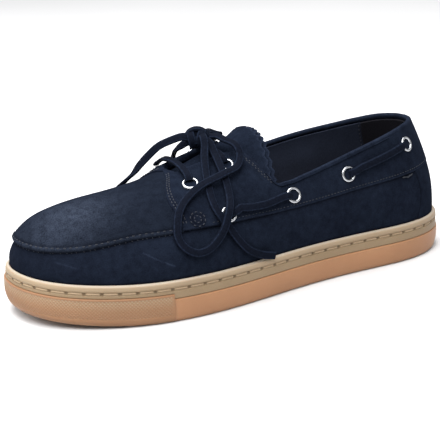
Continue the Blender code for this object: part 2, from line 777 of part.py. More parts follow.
def make_tongue(skin):
    """A curved sheet under the saddle, its back end cut in teeth."""
    shell = Shell()
    columns = [i for i, share in enumerate(skin.shares) if share > CORNER - FIT and i <= skin.throat + 1]
    low_row = skin.seam_row + 2
    sheets = []
    for depth in (0.0, TONGUE_WALL):
        lift = WALL + TONGUE_GAP + depth
        sheet = []
        for i in columns:
            other = len(skin.grid) - i
            outer = [skin.at(i, j, -lift) for j in range(low_row, skin.rows)]
            inner = [skin.at(other, j, -lift) for j in range(low_row, skin.rows)]
            sheet.append(tongue_section(i < skin.throat, outer, inner, depth, i == columns[0]))
        sheets.append([shell.ring(points) for points in sheet])
    for sheet in sheets:
        for first, second in zip(sheet, sheet[1:]):
            shell.bridge(first, second, closed=False)
    upper_sheet, lower_sheet = sheets
    shell.bridge(upper_sheet[0], lower_sheet[0], closed=False)
    shell.bridge(upper_sheet[-1], lower_sheet[-1], closed=False)
    for end in (0, -1):
        first = [points[end] for points in upper_sheet]
        second = [points[end] for points in lower_sheet]
        shell.bridge(first, second, closed=False)
    return shell.make("tongue", SUEDE)


def tongue_section(open_throat, outer, inner, depth, toothed):
    """Points across the tongue: up the outer side, over the ridge and down the inner side."""
    middle = (outer[-1] + inner[-1]) / 2
    if open_throat:
        crown = ridge_point(TONGUE_RIDGE, middle[0])
        crown[2] -= depth
        shoulders = [crown + (end - crown) * (0.5, 0.5, TONGUE_SHOULDER) for end in (outer[-1], inner[-1])]
        across = outer + [shoulders[0], crown, shoulders[1]] + inner[::-1]
    else:
        across = outer[:-1] + [middle] + inner[:-1][::-1]
    points = np.array(across)
    chords = np.sqrt(np.linalg.norm(np.diff(points, axis=0), axis=1))
    keys = np.concatenate([[0], np.cumsum(chords)])
    section = [smooth(keys, points, at) for at in np.linspace(0, keys[-1], TONGUE_COUNT)]
    if toothed:
        for k, point in enumerate(section):
            tooth = TOOTH_DEPTH if k % 2 == 0 and 4 <= k < TONGUE_COUNT - 4 else 0.0
            reach = TONGUE_REACH * math.sin(math.pi * k / (TONGUE_COUNT - 1))
            section[k] = point - np.array([reach + tooth, 0, 0])
    return section


# Eyelets

def eyelet_place(name, side):
    """Share round the edge and share of the way from seam to top of one eyelet."""
    row = next(row for row in EYELETS if row[0] == name)
    return row[1], row[2 if side == "outer" else 3]


def eyelet_frames():
    """Name, centre on the outer face, outward normal and the wall's thickness at each eyelet."""
    frames = []
    for side in SIDES:
        for row in EYELETS:
            share, place = eyelet_place(row[0], side)
            normal = skin_normal(side, share, place)
            proud = overlay(share)
            centre = skin_point(side, share, place) + normal * proud
            frames.append((f"eyelet_{row[0]}_{side}", centre, normal, WALL + proud))
    return frames


def stand_on(obj, centre, normal):
    """Turns an object's z axis along a normal and moves it to a centre."""
    turn = Vector(normal).to_track_quat("Z", "X")
    place = Vector(centre) - Vector((CENTRE[0], CENTRE[1], 0))
    obj.matrix_world = Matrix.Translation(place) @ turn.to_matrix().to_4x4()


def make_eyelet_cutters():
    cutters = []
    for name, centre, normal, thickness in eyelet_frames():
        cage = bmesh.new()
        radius = EYELET_BARREL + FIT
        depth = 4 * thickness
        bmesh.ops.create_cone(cage, cap_ends=True, segments=TURNED_STEPS, radius1=radius,
                              radius2=radius, depth=depth)
        mesh = bpy.data.meshes.new(name + "_cutter")
        cage.to_mesh(mesh)
        cage.free()
        cutter = as_cutter(finish_mesh(name + "_cutter", mesh, None))
        stand_on(cutter, centre, normal)
        cutters.append((name, cutter))
    return cutters


def turned(name, profile, made_of):
    """A closed profile of radius and height pairs, turned about z."""
    mesh = bpy.data.meshes.new(name)
    points = [(radius, 0, height) for radius, height in profile]
    edges = [(i, (i + 1) % len(points)) for i in range(len(points))]
    mesh.from_pydata(points, edges, [])
    mesh.materials.append(made_of)
    obj = bpy.data.objects.new(name, mesh)
    SHOE.objects.link(obj)
    screw = obj.modifiers.new("turn", "SCREW")
    screw.axis = "Z"
    screw.steps = TURNED_STEPS
    screw.render_steps = TURNED_STEPS
    screw.use_merge_vertices = True
    screw.merge_threshold = 0.00001
    screw.use_smooth_shade = True
    return obj


def make_eyelets():
    for name, centre, normal, thickness in eyelet_frames():
        profile = (
            (EYELET_RADIUS - 0.0005, FIT + EYELET_LIP), (EYELET_RADIUS, FIT),
            (EYELET_BARREL, FIT), (EYELET_BARREL, -thickness),
            (EYELET_BORE, -thickness), (EYELET_BORE, FIT + EYELET_LIP),
        )
        stand_on(turned(name, profile, SILVER), centre, normal)


# Lace

def strap(name, path, normals, made_of):
    """A flat lace along a path, its wide side square to the normals."""
    shell = Shell()
    loops = []
    for k, point in enumerate(path):
        ahead = path[min(k + 1, len(path) - 1)]
        behind = path[max(k - 1, 0)]
        along = (ahead - behind) / np.linalg.norm(ahead - behind)
        across = np.cross(along, normals[k])
        across = across / np.linalg.norm(across)
        up = np.cross(across, along)
        ring = []
        for n in range(RING_SIDES):
            angle = 2 * math.pi * (n + 0.5) / RING_SIDES
            wide = math.cos(angle) * LACE_WIDTH / 2
            thick = math.sin(angle) * LACE_THICKNESS / 2
            ring.append(point + across * wide + up * thick)
        loops.append(shell.ring(ring))
    for low, high in zip(loops, loops[1:]):
        shell.bridge(low, high)
    shell.faces.append(list(loops[0]))
    shell.faces.append(list(loops[-1]))
    return shell.make(name, made_of)


def place_at_height(side, share, height):
    """How far up from the seam a column reaches a height."""
    places = np.linspace(-0.5, 1, 61)
    heights = [skin_point(side, share, place)[2] for place in places]
    return float(np.interp(height, heights, places))


def over_skin(side, share, place, lift):
    """A point over the upper's outside, and the normal there."""
    normal = skin_normal(side, share, place)
    return skin_point(side, share, place) + normal * (overlay(share) + lift), normal


def lace_start(name, side, lift):
    """The two points and normals where a lace comes up through an eyelet."""
    share, place = eyelet_place(name, side)
    sunk, normal = over_skin(side, share, place, -LACE_THICKNESS)
    risen, normal = over_skin(side, share, place, lift * 0.7)
    return [(sunk, normal), (risen, normal)]


def make_side_lace(first, second, side, lift):
    """A lace along the topline, out of one eyelet and into the next."""
    start = lace_start(first, side, lift)
    end = lace_start(second, side, lift)
    stops = list(start)
    for blend in np.linspace(0.12, 0.88, LACE_STOPS):
        share = eyelet_place(first, side)[0] * (1 - blend) + eyelet_place(second, side)[0] * blend
        height = start[1][0][2] * (1 - blend) + end[1][0][2] * blend
        stops.append(over_skin(side, share, place_at_height(side, share, height), lift))
    stops += end[::-1]
    strap(f"lace_{first}_{side}", [stop[0] for stop in stops], [stop[1] for stop in stops], LEATHER)


def make_cross_lace(name, lift, crown_share):
    """A lace over the throat, from the outer eyelet of a pair to the inner one."""
    halves = []
    for side in SIDES:
        share, place = eyelet_place(name, side)
        half = lace_start(name, side, lift)
        for blend in (0.35, 0.7, 0.95):
            column_share = share + (crown_share - share) * blend
            half.append(over_skin(side, column_share, place + (1 - place) * blend, lift))
        halves.append(half)
    outer, inner = halves
    middle = (outer[-1][0] + inner[-1][0]) / 2 + np.array([0, 0, LACE_THICKNESS / 2])
    stops = outer + [(middle, np.array([0.0, 0.0, 1.0]))] + inner[::-1]
    strap(f"lace_{name}", [stop[0] for stop in stops], [stop[1] for stop in stops], LEATHER)


def make_cord(name, points):
    """A free lace as a round tube through hand-placed points."""
    curve = bpy.data.curves.new(name, "CURVE")
    curve.dimensions = "3D"
    curve.bevel_depth = CORD_RADIUS
    curve.bevel_resolution = 2
    curve.use_fill_caps = True
    spline = curve.splines.new("POLY")
    spline.points.add(len(points) - 1)
    for slot, point in zip(spline.points, points):
        slot.co = (*point, 1)
    curve.materials.append(LEATHER)
    SHOE.objects.link(bpy.data.objects.new(name, curve))


def make_knot():
    cage = bmesh.new()
    bmesh.ops.create_uvsphere(cage, u_segments=12, v_segments=8, radius=0.5)
    bmesh.ops.scale(cage, vec=Vector(KNOT_SIZE), verts=cage.verts)
    bmesh.ops.translate(cage, vec=Vector(KNOT_CENTRE), verts=cage.verts)
    mesh = bpy.data.meshes.new("knot")
    cage.to_mesh(mesh)
    cage.free()
    finish_mesh("knot", mesh, LEATHER)


def make_laces():
    lift = EYELET_LIP + FIT + LACE_THICKNESS / 2 + LACE_RISE
    for side in SIDES:
        make_side_lace("side_front", "side_middle", side, lift)
        make_side_lace("side_back", "side_heel", side, lift)
    make_cross_lace("front", lift, LACE_CROSSING)
    make_cross_lace("rear", lift, eyelet_place("rear", "outer")[0])
    make_knot()
    make_cord("near_loop", NEAR_LOOP)
    make_cord("near_end", NEAR_END)
    make_cord("far_loop", FAR_LOOP)
    make_cord("far_end", FAR_END)


def main():
    make_outsole()
    make_sidewall()
    make_footbed()
    skin = Skin()
    make_upper(skin)
    make_tongue(skin)
    make_eyelets()
    make_laces()


for old in list(bpy.data.objects):
    bpy.data.objects.remove(old)
SHOE = bpy.data.collections.new("boat_shoe")
CUTTERS = bpy.data.collections.new("cutters")
for group in (SHOE, CUTTERS):
    bpy.context.scene.collection.children.link(group)

GUM = material("gum rubber", (0.46, 0.26, 0.14), 0.55)
BEIGE = material("pale rubber", (0.50, 0.38, 0.25), 0.6)
SUEDE = material("navy suede", (0.018, 0.024, 0.045), 0.9)
LINING = material("navy lining", (0.02, 0.025, 0.04), 0.8)
LEATHER = material("navy lace leather", (0.02, 0.027, 0.05), 0.6)
SILVER = material("silver eyelet", (0.8, 0.8, 0.8), 0.25, 1.0)

main()
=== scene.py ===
"""Looks for the boat shoe: suede upper, linings, seams, eyelets, leather lace and rubber sole.

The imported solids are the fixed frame. The pieces here follow the same outline, seam and topline
as the part's source, in metres, with the toe along +X and the outer side of the foot along +Y.
"""
import json
import math
import random

import bmesh
import bpy
import numpy as np
from mathutils import Matrix, Vector

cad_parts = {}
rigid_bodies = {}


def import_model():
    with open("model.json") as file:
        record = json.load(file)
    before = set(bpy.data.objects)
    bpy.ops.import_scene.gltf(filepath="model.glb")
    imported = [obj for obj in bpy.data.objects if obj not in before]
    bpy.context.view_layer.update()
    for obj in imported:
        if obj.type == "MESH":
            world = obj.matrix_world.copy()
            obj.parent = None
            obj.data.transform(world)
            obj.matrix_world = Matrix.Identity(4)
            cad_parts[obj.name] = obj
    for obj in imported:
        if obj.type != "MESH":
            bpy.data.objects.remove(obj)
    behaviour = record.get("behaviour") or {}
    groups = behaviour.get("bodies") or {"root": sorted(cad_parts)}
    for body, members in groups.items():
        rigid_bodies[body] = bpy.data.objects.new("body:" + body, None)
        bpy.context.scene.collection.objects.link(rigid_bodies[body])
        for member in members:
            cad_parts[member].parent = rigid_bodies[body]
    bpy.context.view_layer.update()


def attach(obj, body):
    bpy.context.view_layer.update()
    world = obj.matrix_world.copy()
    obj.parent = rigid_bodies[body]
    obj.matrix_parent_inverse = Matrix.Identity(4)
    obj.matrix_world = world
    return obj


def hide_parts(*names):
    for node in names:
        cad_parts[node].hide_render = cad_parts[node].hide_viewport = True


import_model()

random.seed(7)

# Camera: yaw from +Y towards +X, rise over the floor and roll in degrees, then metres and millimetres
CAMERA_YAW = 27.5
CAMERA_RISE = 16.91
CAMERA_ROLL = -1.88
CAMERA_DISTANCE = 0.78584
CAMERA_TARGET = (0.01137, -0.00306, 0.03791)
CAMERA_LENS = 102.54
CAMERA_SENSOR = 36.0

# Sole sizes, as in the part's source
SOLE_LENGTH = 0.300
BALL_WIDTH = 0.107
SIDE_HEIGHT = 0.0250
TOE_SPRING = 0.0048
SPRING_START = 0.72
SIDE_WALL = 0.0034
CUP_FLOOR = 0.0080
GUM_HEIGHT = 0.0143
EDGE_BEVEL = 0.0026
BUMPER_PROUD = 0.0005
BUMPER_END = 0.688
BUMPER_DROP = 0.0029
GROOVE_DROP = 0.0047
GROOVE_WIDTH = 0.0011
GROOVE_DEPTH = 0.0010
SIDE_LIP = 0.0014
GROOVE_HEIGHT = SIDE_HEIGHT - GROOVE_DROP
BUMPER_HEIGHT = GROOVE_HEIGHT - BUMPER_DROP
BARREL_WIDEST = 0.0105
BARREL_FOOT = 0.0032
BARREL_TOP = 0.0016
TOE_ROCKER = 0.0010
HEEL_TUCK = 0.0012
TOE_TUCK = 0.0006
FLANK_ROUNDING = 0.3
HEEL_ROUNDING_END = 0.14
TOE_ROUNDING_START = 0.72
TREAD_DEPTH = 0.0012
TREAD_BORDER = 0.0080
SIPE_WIDTH = 0.0016
SIPE_PITCH = 0.0110
SIPE_ZONES = ((0.075, 0.300), (0.575, 0.700))

# Upper sizes, as in the part's source
HEEL_RISE = 0.0625
INSTEP_RISE = 0.0675
WALL = 0.0020
PLUG_STEP = 0.0014
PLUG_PUFF = 0.0013
SADDLE_STEP = 0.0024
COLLAR_STEP = 0.0010
FIT = 0.0003
TONGUE_GAP = 0.0009
TONGUE_SHOULDER = 0.18
TONGUE_REACH = 0.0030
FOOTBED_THICKNESS = 0.0040
FOOTBED_EDGE = 0.0014
EYELET_RADIUS = 0.0050
EYELET_LIP = 0.0008
LACE_THICKNESS = 0.0020
LACE_RISE = 0.0006
LACE_SEEN_WIDTH = 0.0050
LACE_SEEN_THICKNESS = 0.0024
KNOT_CENTRE = np.array((0.0240, -0.0010, 0.0929))

# Shape tables, as in the part's source
OUTLINE = (
    (0.000, 0.000), (0.035, 0.224), (0.130, 0.359), (0.250, 0.384), (0.380, 0.409),
    (0.500, 0.465), (0.620, 0.520), (0.740, 0.520), (0.850, 0.443), (0.940, 0.300),
    (0.985, 0.136), (1.000, -0.056), (0.985, -0.234), (0.940, -0.346), (0.850, -0.430),
    (0.730, -0.472), (0.600, -0.430), (0.420, -0.337), (0.250, -0.341), (0.130, -0.355),
    (0.035, -0.224),
)
TOE_ROW = 11
CORNER = 0.462
FLAP_TOP = 0.497
FLAP_FRONT = 0.640
THROAT = 0.650
LACE_CROSSING = 0.628
TOPLINE = np.array((
    (0.000, 0.070, 0.000, 0.000, 1.000, 1.000, 25),
    (0.050, 0.077, 0.073, -0.073, 1.002, 0.998, 24),
    (0.100, 0.102, 0.150, -0.150, 0.998, 0.986, 22),
    (0.165, 0.147, 0.224, -0.226, 0.975, 0.945, 20),
    (0.230, 0.203, 0.270, -0.272, 0.925, 0.902, 19),
    (0.290, 0.270, 0.297, -0.290, 0.857, 0.866, 20),
    (0.345, 0.333, 0.312, -0.294, 0.785, 0.825, 22),
    (0.400, 0.400, 0.322, -0.294, 0.710, 0.770, 26),
    (0.440, 0.445, 0.324, -0.292, 0.668, 0.730, 30),
    (0.462, 0.470, 0.316, -0.285, 0.676, 0.722, 36),
    (0.480, 0.490, 0.234, -0.215, 0.800, 0.832, 52),
    (0.497, 0.512, 0.145, -0.136, 0.912, 0.926, 68),
    (0.515, 0.533, 0.112, -0.107, 0.922, 0.928, 73),
    (0.570, 0.593, 0.093, -0.089, 0.862, 0.866, 78),
    (0.640, 0.647, 0.084, -0.079, 0.792, 0.794, 80),
))
RIDGE = np.array((
    (0.655, 0.000, 0.729), (0.677, 0.003, 0.697), (0.713, 0.007, 0.656), (0.760, 0.009, 0.620),
    (0.823, 0.000, 0.582), (0.873, -0.019, 0.556),
))
TONGUE_RIDGE = np.array((
    (0.440, -0.010, 1.085), (0.513, -0.005, 0.957), (0.553, 0.000, 0.880),
    (0.600, 0.000, 0.792), (0.650, 0.000, 0.684),
))
SEAM = np.array((
    (0.000, 0.552, 0.048, 0.048, 19, 19, 0),
    (0.100, 0.535, 0.037, 0.040, 16, 17, 1),
    (0.165, 0.515, 0.022, 0.024, 13, 13, 3),
    (0.230, 0.494, 0.008, 0.002, 9, 7, 5),
    (0.290, 0.472, 0.000, -0.015, 7, 2, 6),
    (0.345, 0.447, -0.002, -0.021, 8, 0, 6),
    (0.400, 0.425, 0.004, -0.019, 10, 2, 6),
    (0.462, 0.414, 0.017, -0.007, 16, 8, 6),
    (0.515, 0.414, 0.032, 0.019, 22, 19, 6),
    (0.580, 0.410, 0.052, 0.054, 29, 32, 5),
    (0.640, 0.406, 0.073, 0.094, 36, 45, 5),
    (0.700, 0.397, 0.090, 0.110, 42, 50, 4),
    (0.743, 0.386, 0.096, 0.106, 44, 48, 4),
    (0.787, 0.355, 0.085, 0.090, 43, 45, 4),
    (0.834, 0.323, 0.067, 0.065, 41, 40, 4),
    (0.910, 0.302, 0.050, 0.052, 39, 40, 5),
    (1.000, 0.306, 0.038, 0.038, 34, 34, 5),
))
HANDLE = 0.38
EYELETS = (
    ("front", 0.626, 0.640, 0.560),
    ("rear", 0.540, 0.753, 0.715),
    ("side_front", 0.566, 0.091, 0.091),
    ("side_middle", 0.432, 0.435, 0.435),
    ("side_back", 0.315, 0.472, 0.472),
    ("side_heel", 0.155, 0.600, 0.600),
)
SIDES = ("outer", "inner")
SIGN = {"outer": 1, "inner": -1}

# Free laces, as in the part's source
NEAR_LOOP = (
    (0.0180, 0.0020, 0.0938), (0.0158, 0.0048, 0.0940), (0.0140, 0.0100, 0.0928),
    (0.0100, 0.0180, 0.0900), (0.0100, 0.0230, 0.0845), (0.0150, 0.0275, 0.0795),
    (0.0245, 0.0305, 0.0777), (0.0320, 0.0315, 0.0758), (0.0380, 0.0320, 0.0743),
    (0.0425, 0.0320, 0.0724), (0.0505, 0.0333, 0.0680), (0.0587, 0.0380, 0.0622),
    (0.0627, 0.0425, 0.0555), (0.0640, 0.0458, 0.0482), (0.0610, 0.0490, 0.0425),
    (0.0545, 0.0508, 0.0390), (0.0470, 0.0508, 0.0400), (0.0400, 0.0500, 0.0450),
    (0.0358, 0.0500, 0.0513), (0.0318, 0.0482, 0.0602), (0.0272, 0.0404, 0.0654),
    (0.0245, 0.0307, 0.0739), (0.0232, 0.0208, 0.0813), (0.0222, 0.0120, 0.0873),
    (0.0222, 0.0080, 0.0908), (0.0226, 0.0050, 0.0924),
)
NEAR_END = (
    (0.0256, 0.0047, 0.0955), (0.0262, 0.0075, 0.0948), (0.0270, 0.0105, 0.0910),
    (0.0290, 0.0135, 0.0868), (0.0312, 0.0180, 0.0820), (0.0334, 0.0233, 0.0769),
    (0.0367, 0.0333, 0.0698), (0.0376, 0.0411, 0.0621), (0.0354, 0.0457, 0.0557),
    (0.0309, 0.0472, 0.0488), (0.0265, 0.0488, 0.0415), (0.0200, 0.0492, 0.0343),
    (0.0110, 0.0482, 0.0295), (0.0015, 0.0476, 0.0270),
)
FAR_LOOP = (
    (0.0184, -0.0038, 0.0950), (0.0156, -0.0064, 0.0948), (0.0096, -0.0110, 0.0928),
    (0.0038, -0.0160, 0.0900), (0.0014, -0.0212, 0.0868), (0.0040, -0.0266, 0.0831),
    (0.0107, -0.0303, 0.0783), (0.0188, -0.0336, 0.0726), (0.0278, -0.0365, 0.0661),
    (0.0355, -0.0378, 0.0626), (0.0451, -0.0392, 0.0587), (0.0525, -0.0424, 0.0541),
    (0.0564, -0.0448, 0.0500), (0.0568, -0.0471, 0.0460), (0.0535, -0.0490, 0.0415),
    (0.0475, -0.0500, 0.0388), (0.0410, -0.0490, 0.0400), (0.0350, -0.0475, 0.0445),
    (0.0305, -0.0475, 0.0502), (0.0270, -0.0462, 0.0585), (0.0250, -0.0418, 0.0668),
    (0.0262, -0.0352, 0.0748), (0.0295, -0.0262, 0.0802), (0.0318, -0.0185, 0.0838),
    (0.0312, -0.0130, 0.0868), (0.0288, -0.0098, 0.0893), (0.0265, -0.0070, 0.0915),
)
FAR_END = (
    (0.0304, -0.0020, 0.0936), (0.0345, -0.0040, 0.0945), (0.0400, -0.0080, 0.0924),
    (0.0470, -0.0120, 0.0888), (0.0520, -0.0155, 0.0835), (0.0575, -0.0185, 0.0770),
    (0.0610, -0.0215, 0.0714), (0.0640, -0.0270, 0.0660), (0.0658, -0.0338, 0.0606),
    (0.0672, -0.0405, 0.0540), (0.0680, -0.0462, 0.0462), (0.0672, -0.0500, 0.0388),
    (0.0630, -0.0515, 0.0330), (0.0570, -0.0518, 0.0300),
)

# Saddle's front edge: share of the way up from the seam, share round the edge
SADDLE_EDGE = np.array((
    (0.00, 0.657), (0.08, 0.660), (0.20, 0.665), (0.40, 0.675), (0.61, 0.675), (0.80, 0.666),
    (1.00, 0.662),
))


# Camera

def make_camera():
    yaw, rise, roll = (math.radians(a) for a in (CAMERA_YAW, CAMERA_RISE, CAMERA_ROLL))
    back = Vector((math.sin(yaw) * math.cos(rise), math.cos(yaw) * math.cos(rise), math.sin(rise)))
    level = Vector((-math.cos(yaw), math.sin(yaw), 0))
    upright = back.cross(level)
    right = level * math.cos(roll) + upright * math.sin(roll)
    up = upright * math.cos(roll) - level * math.sin(roll)
    turn = Matrix((right, up, back)).transposed().to_4x4()
    data = bpy.data.cameras.new("camera")
    data.lens = CAMERA_LENS
    data.sensor_width = CAMERA_SENSOR
    data.clip_start = 0.01
    camera = bpy.data.objects.new("camera", data)
    camera.matrix_world = Matrix.Translation(Vector(CAMERA_TARGET) + back * CAMERA_DISTANCE) @ turn
    bpy.context.scene.collection.objects.link(camera)
    bpy.context.scene.camera = camera


# Curves and outlines

def smooth(keys, values, at):
    """Reads a smooth curve through a table's rows, at one place or at several."""
    keys = np.asarray(keys, dtype=float)
    values = np.asarray(values, dtype=float)
    at = np.asarray(at, dtype=float)
    slopes = np.gradient(values, keys, axis=0)
    row = np.clip(np.searchsorted(keys, at) - 1, 0, len(keys) - 2)
    span = keys[row + 1] - keys[row]
    t = (at - keys[row]) / span
    if values.ndim > 1:
        t = t[..., None]
        span = span[..., None]
    start = (1 + 2 * t) * (1 - t) ** 2 * values[row] + t * (1 - t) ** 2 * span * slopes[row]
    end = t * t * (3 - 2 * t) * values[row + 1] + t * t * (t - 1) * span * slopes[row + 1]
    return start + end


def closed_curve(points, steps):
    """A closed cubic spline through the points, as evenly counted samples for each span."""
    points = np.asarray(points, dtype=float)
    count = len(points)
    chords = np.sqrt(np.linalg.norm(np.roll(points, -1, axis=0) - points, axis=1))
    matrix = np.zeros((count, count))
    target = np.zeros((count, 2))
    for i in range(count):
        before, after = chords[i - 1], chords[i]
        matrix[i, i - 1] += 1 / before
        matrix[i, i] += 2 * (1 / before + 1 / after)
        matrix[i, (i + 1) % count] += 1 / after
        rise_before = (points[i] - points[i - 1]) / before ** 2
        rise_after = (points[(i + 1) % count] - points[i]) / after ** 2
        target[i] = 3 * (rise_before + rise_after)
    slopes = np.linalg.solve(matrix, target)
    samples = []
    for i in range(count):
        following = (i + 1) % count
        for t in np.arange(steps) / steps:
            start = (1 + 2 * t) * (1 - t) ** 2 * points[i] + t * (1 - t) ** 2 * chords[i] * slopes[i]
            end = t * t * (3 - 2 * t) * points[following]
            end = end + t * t * (t - 1) * chords[i] * slopes[following]
            samples.append(start + end)
    return np.array(samples)


CURVE_STEPS = 36
EDGE = closed_curve([(x * SOLE_LENGTH, y * BALL_WIDTH) for x, y in OUTLINE], CURVE_STEPS)
TOE_INDEX = TOE_ROW * CURVE_STEPS
CENTRE = np.array([*(EDGE.max(axis=0) + EDGE.min(axis=0)) / 2, 0.0])
HALF_EDGES = {
    "outer": EDGE[:TOE_INDEX + 1],
    "inner": np.vstack([EDGE[:1], EDGE[:TOE_INDEX - 1:-1]]),
}


def run_along(points):
    """Distance of each point from the first, along the line through them."""
    return np.concatenate([[0], np.cumsum(np.linalg.norm(np.diff(points, axis=0), axis=1))])


def edge_frame(side, shares):
    """Points of the outline and the inward directions there, at shares of the way from heel to toe."""
    line = HALF_EDGES[side]
    lengths = run_along(line)
    shares = np.asarray(shares, dtype=float)
    at = shares * lengths[-1]
    reach = 0.004

    def read(where):
        return np.stack([np.interp(where, lengths, line[:, k]) for k in (0, 1)], axis=-1)

    point, ahead, behind = read(at), read(at + reach), read(at - reach)
    heel = (shares <= 0)[..., None]
    toe = (shares >= 1)[..., None]
    behind = np.where(heel, ahead * (1, -1), behind)
    ahead = np.where(toe, point + (point - behind) * (-1, 1), ahead)
    along = (ahead - behind) / np.linalg.norm(ahead - behind, axis=-1, keepdims=True)
    return point, np.stack([along[..., 1], -along[..., 0]], axis=-1) * SIGN[side]


def spring(x):
    """Lift of the sole at the toe."""
    reach = (np.asarray(x) / SOLE_LENGTH - SPRING_START) / (1 - SPRING_START)
    return TOE_SPRING * np.maximum(0.0, reach) ** 2


def ease(value, low, high):
    """Rises smoothly from 0 at low to 1 at high."""
    t = np.clip((np.asarray(value, float) - low) / (high - low), 0, 1)
    return t * t * (3 - 2 * t)


def heel_weight(share):
    return 1 - ease(share, 0.0, HEEL_ROUNDING_END)


def toe_weight(share):
    return ease(share, TOE_ROUNDING_START, 1.0)


def barrel(share, height):
    """How far the sole's side is tucked in at a height, most at the heel and the toe."""
    ends = np.maximum(heel_weight(share), toe_weight(share))
    weight = FLANK_ROUNDING + (1 - FLANK_ROUNDING) * ends
    low = np.maximum(0.0, 1 - height / BARREL_WIDEST) ** 2 * BARREL_FOOT
    high = np.maximum(0.0, (height - BARREL_WIDEST) / (SIDE_HEIGHT - BARREL_WIDEST)) ** 2 * BARREL_TOP
    return weight * (low + high)


def wall_inset(share):
    """Inset of the sole's inner face, a little more where the heel and the toe are tucked in."""
    return SIDE_WALL + HEEL_TUCK * heel_weight(share) + TOE_TUCK * toe_weight(share)


def ridge_point(table, x):
    x = np.asarray(x, dtype=float)
    y = smooth(table[:, 0] * SOLE_LENGTH, table[:, 1] * BALL_WIDTH, x)
    z = smooth(table[:, 0] * SOLE_LENGTH, table[:, 2] * INSTEP_RISE, x)
    return np.stack([x, y, SIDE_HEIGHT + z], axis=-1)


def unit(vectors):
    return vectors / np.maximum(np.linalg.norm(vectors, axis=-1, keepdims=True), 1e-12)


# The last, which every piece of the upper lies on

def leaning(horizontal, degrees):
    """Unit directions that lean from upright towards horizontal directions."""
    lean = np.radians(degrees)[..., None]
    return np.concatenate([horizontal * np.sin(lean), np.cos(lean)], axis=-1)


def curve_between(start, start_lean, end, end_direction):
    """Control points of cubics that leave and arrive in the given directions."""
    reach = np.linalg.norm(end - start, axis=-1, keepdims=True) * HANDLE
    return np.stack([start, start + start_lean * reach, end - end_direction * reach, end], axis=1)


def column_controls(side, shares):
    """Two cubics for each column: foot to seam, and seam to top."""
    outer = side == "outer"
    point, inwards = edge_frame(side, shares)
    seam_row = smooth(SEAM[:, 0], SEAM[:, 1:], shares)
    inset = wall_inset(shares) + FIT
    foot_plan = point + inwards * inset[:, None]
    foot = np.concatenate([foot_plan, (SIDE_HEIGHT + spring(foot_plan[:, :1]))], axis=1)
    seam_plan = point + inwards * (inset + BALL_WIDTH * seam_row[:, 1 if outer else 2])[:, None]
    seam = np.concatenate([seam_plan, SIDE_HEIGHT + HEEL_RISE * seam_row[:, :1]], axis=1)
    lean = seam_row[:, 3 if outer else 4]
    wall = curve_between(foot, leaning(-inwards, seam_row[:, 5]), seam, leaning(inwards, lean))
    vamp = shares >= THROAT - 1e-9
    ridge_x = (RIDGE[0, 0] + (RIDGE[-1, 0] - RIDGE[0, 0]) * (shares - THROAT) / (1 - THROAT)) * SOLE_LENGTH
    crest = ridge_point(RIDGE, ridge_x)
    nearby = ridge_point(RIDGE, ridge_x - 0.002)
    across = unit((crest - seam)[:, :2])
    slope = (crest[:, 2] - nearby[:, 2]) / (crest[:, 0] - nearby[:, 0])
    crest_arrival = np.column_stack([across, across[:, 0] * slope])
    line = smooth(TOPLINE[:, 0], TOPLINE[:, 1:], shares)
    topline = np.column_stack([
        line[:, 0] * SOLE_LENGTH,
        line[:, 1 if outer else 2] * BALL_WIDTH,
        SIDE_HEIGHT + line[:, 3 if outer else 4] * HEEL_RISE,
    ])
    choose = vamp[:, None]
    top = np.where(choose, crest, topline)
    heading = np.where(choose, across, inwards)
    arrival = np.where(choose, crest_arrival, leaning(inwards, line[:, 5]))
    cover = curve_between(seam, leaning(heading, lean), top, arrival)
    return np.concatenate([wall, cover], axis=1)


COLUMN_SHARES = np.linspace(0, 1, 901)
COLUMN_SHARES = COLUMN_SHARES[(COLUMN_SHARES < FLAP_FRONT) | (COLUMN_SHARES > THROAT)]
COLUMN_SHARES = np.sort(np.append(COLUMN_SHARES, (FLAP_FRONT, THROAT)))
CONTROLS = {side: column_controls(side, COLUMN_SHARES) for side in SIDES}


def last_point(around, place):
    """Points of the bare last. Around is the share on the outer side, or its negative on the inner
    side; place runs from -1 at the foot over 0 at the seam to 1 at the top, and lower inside the sole."""
    around, place = np.broadcast_arrays(np.asarray(around, float), np.asarray(place, float))
    share = np.clip(np.abs(around), 0, 1)
    row = np.clip(np.searchsorted(COLUMN_SHARES, share) - 1, 0, len(COLUMN_SHARES) - 2)
    blend = (share - COLUMN_SHARES[row]) / (COLUMN_SHARES[row + 1] - COLUMN_SHARES[row])
    blend = blend[..., None, None]
    controls = {side: CONTROLS[side][row] * (1 - blend) + CONTROLS[side][row + 1] * blend for side in SIDES}
    chosen = np.where((around >= 0)[..., None, None], controls["outer"], controls["inner"])
    upper = (place > 0)[..., None]
    t = np.where(place > 0, place, np.clip(1 + place, 0, 1))[..., None]
    a, b, c, d = (np.where(upper, chosen[..., 4 + k, :], chosen[..., k, :]) for k in range(4))
    point = (1 - t) ** 3 * a + 3 * (1 - t) ** 2 * t * b + 3 * (1 - t) * t * t * c + t ** 3 * d
    sunk = np.clip(-1 - place, 0, 1) * (SIDE_HEIGHT - CUP_FLOOR - FIT)
    return point - CENTRE - sunk[..., None] * (0, 0, 1)


